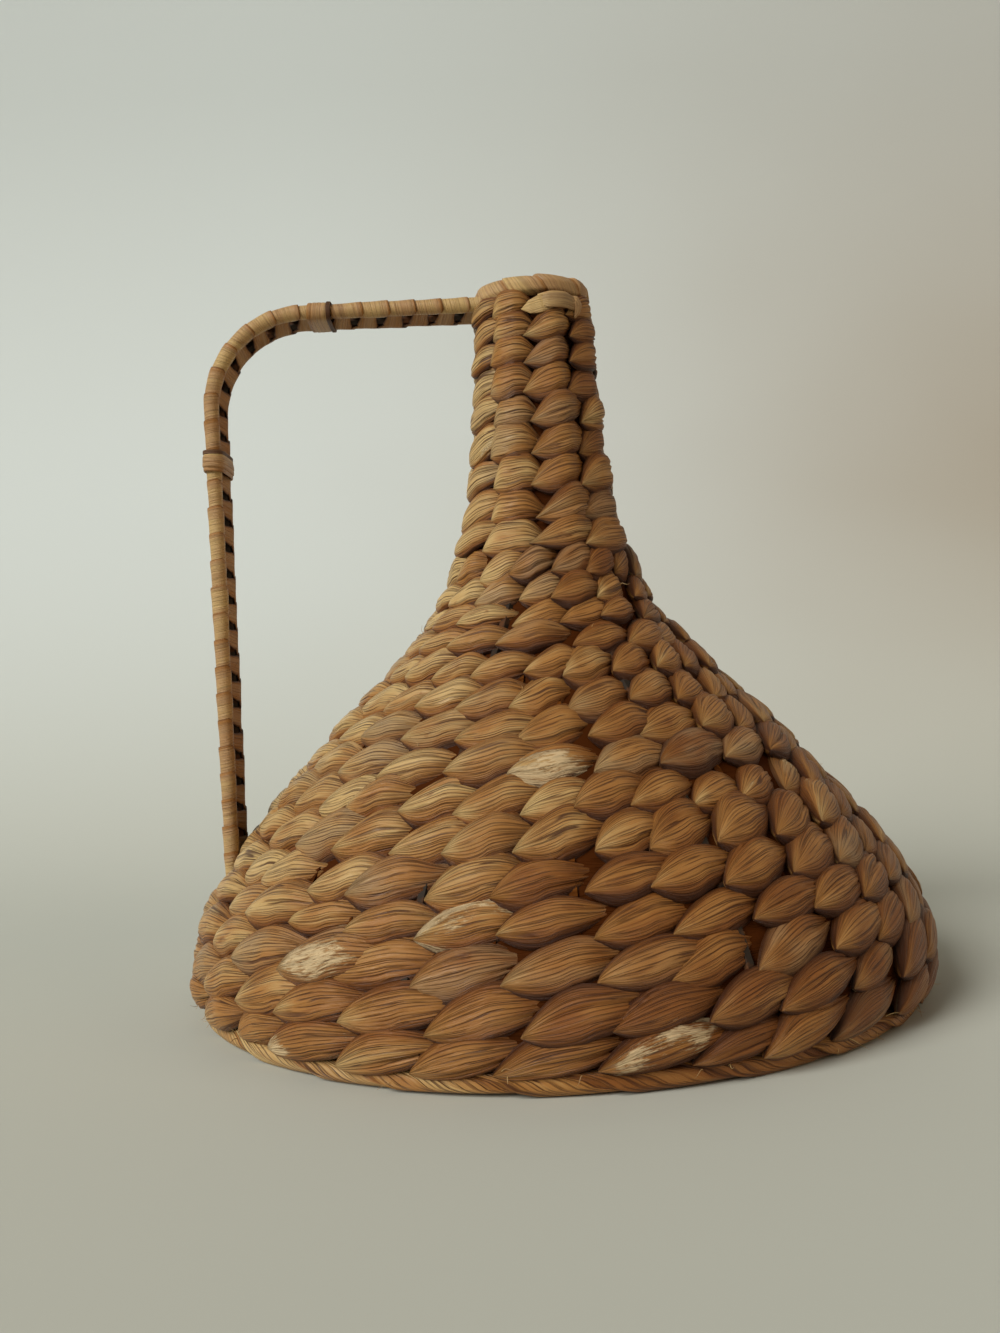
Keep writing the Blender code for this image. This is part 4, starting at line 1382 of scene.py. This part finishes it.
def even_light(look):
    """A world that lights the flask evenly. Past the paper it shows the horizon's colour."""
    world = bpy.data.worlds.new("Even light")
    world.use_nodes = True
    sky = Tree(world.node_tree)
    background = world.node_tree.nodes["Background"]
    rays = sky.add("ShaderNodeLightPath").outputs
    seen = sky.math("MAXIMUM", rays["Is Camera Ray"], rays["Is Glossy Ray"])
    seen = sky.math("MAXIMUM", seen, rays["Is Transmission Ray"])
    even = four([look.sky * part for part in (1.0, 0.96, 0.90)])
    sky.link(sky.blend(seen, even, four(look.horizon)), background.inputs["Color"])
    bpy.context.scene.world = world


def lamp(name, place, energy, tint, softness):
    """A soft light that shines from a place towards the flask."""
    light = bpy.data.lights.new(name, "SUN")
    light.energy = energy
    light.angle = softness
    light.color = tint
    held = bpy.data.objects.new(name, light)
    held.location = place
    held.rotation_euler = (-Vector(place)).to_track_quat("-Z", "Y").to_euler()
    bpy.context.scene.collection.objects.link(held)


def stage_camera(look):
    """The camera in front of the flask, tilted and rolled."""
    lens = bpy.data.cameras.new("camera")
    lens.lens = look.focal
    lens.sensor_width = 36.0
    lens.clip_start = 0.01
    camera = bpy.data.objects.new("camera", lens)
    forward = Vector((0.0, math.cos(look.pitch), math.sin(look.pitch)))
    level = Vector((0.0, -math.sin(look.pitch), math.cos(look.pitch)))
    right = Vector((math.cos(look.roll), 0.0, 0.0)) - level * math.sin(look.roll)
    up = right.cross(forward)
    turn = Matrix((right, up, -forward)).transposed().to_4x4()
    camera.matrix_world = Matrix.Translation((look.aside, -look.distance, look.height)) @ turn
    bpy.context.scene.collection.objects.link(camera)
    bpy.context.scene.camera = camera


class FLASK_OT_stage(bpy.types.Operator):
    """Set the pale floor and backdrop, the soft lamps and the camera"""

    bl_idname = "flask.stage"
    bl_label = "Stage"

    def execute(self, context):
        look = context.scene.stage_look
        paper_sweep(look)
        even_light(look)
        for name, (place, tint) in LAMPS.items():
            lamp(f"{name}_light", place, getattr(look, name), tint, look.softness)
        stage_camera(look)
        context.scene.view_settings.view_transform = "Standard"
        return {"FINISHED"}


OPERATORS = (
    FLASK_OT_body,
    FLASK_OT_neck,
    FLASK_OT_base,
    FLASK_OT_foot_border,
    FLASK_OT_mouth,
    FLASK_OT_handle,
    FLASK_OT_loose_fibres,
    FLASK_OT_frame,
    FLASK_OT_stage,
)


class FLASK_PT_panel(bpy.types.Panel):
    """Lists the steps of the flask and its sizes and colours"""

    bl_idname = "FLASK_PT_panel"
    bl_label = "Woven Leaf Flask"
    bl_space_type = "VIEW_3D"
    bl_region_type = "UI"
    bl_category = "Flask"

    def draw(self, context):
        layout = self.layout
        for operator in OPERATORS:
            layout.operator(operator.bl_idname)
        for group in GROUPS:
            box = layout.box()
            box.label(text=group.replace("_", " ").capitalize())
            values = getattr(context.scene, group)
            for name in values.bl_rna.properties.keys():
                if name not in {"rna_type", "name"}:
                    box.prop(values, name)


GROUPS = {
    "flask_sizes": FlaskSizes,
    "handle_sizes": HandleSizes,
    "leaf_look": LeafLook,
    "stage_look": StageLook,
}
CLASSES = (*GROUPS.values(), *OPERATORS, FLASK_PT_panel)


def register():
    for item in CLASSES:
        bpy.utils.register_class(item)
    for name, group in GROUPS.items():
        setattr(bpy.types.Scene, name, bpy.props.PointerProperty(type=group))


def unregister():
    for name in GROUPS:
        delattr(bpy.types.Scene, name)
    for item in reversed(CLASSES):
        bpy.utils.unregister_class(item)


def main():
    """Builds the whole scene."""
    register()
    for operator in OPERATORS:
        family, step = operator.bl_idname.split(".")
        getattr(getattr(bpy.ops, family), step)()


if __name__ == "__main__":
    main()
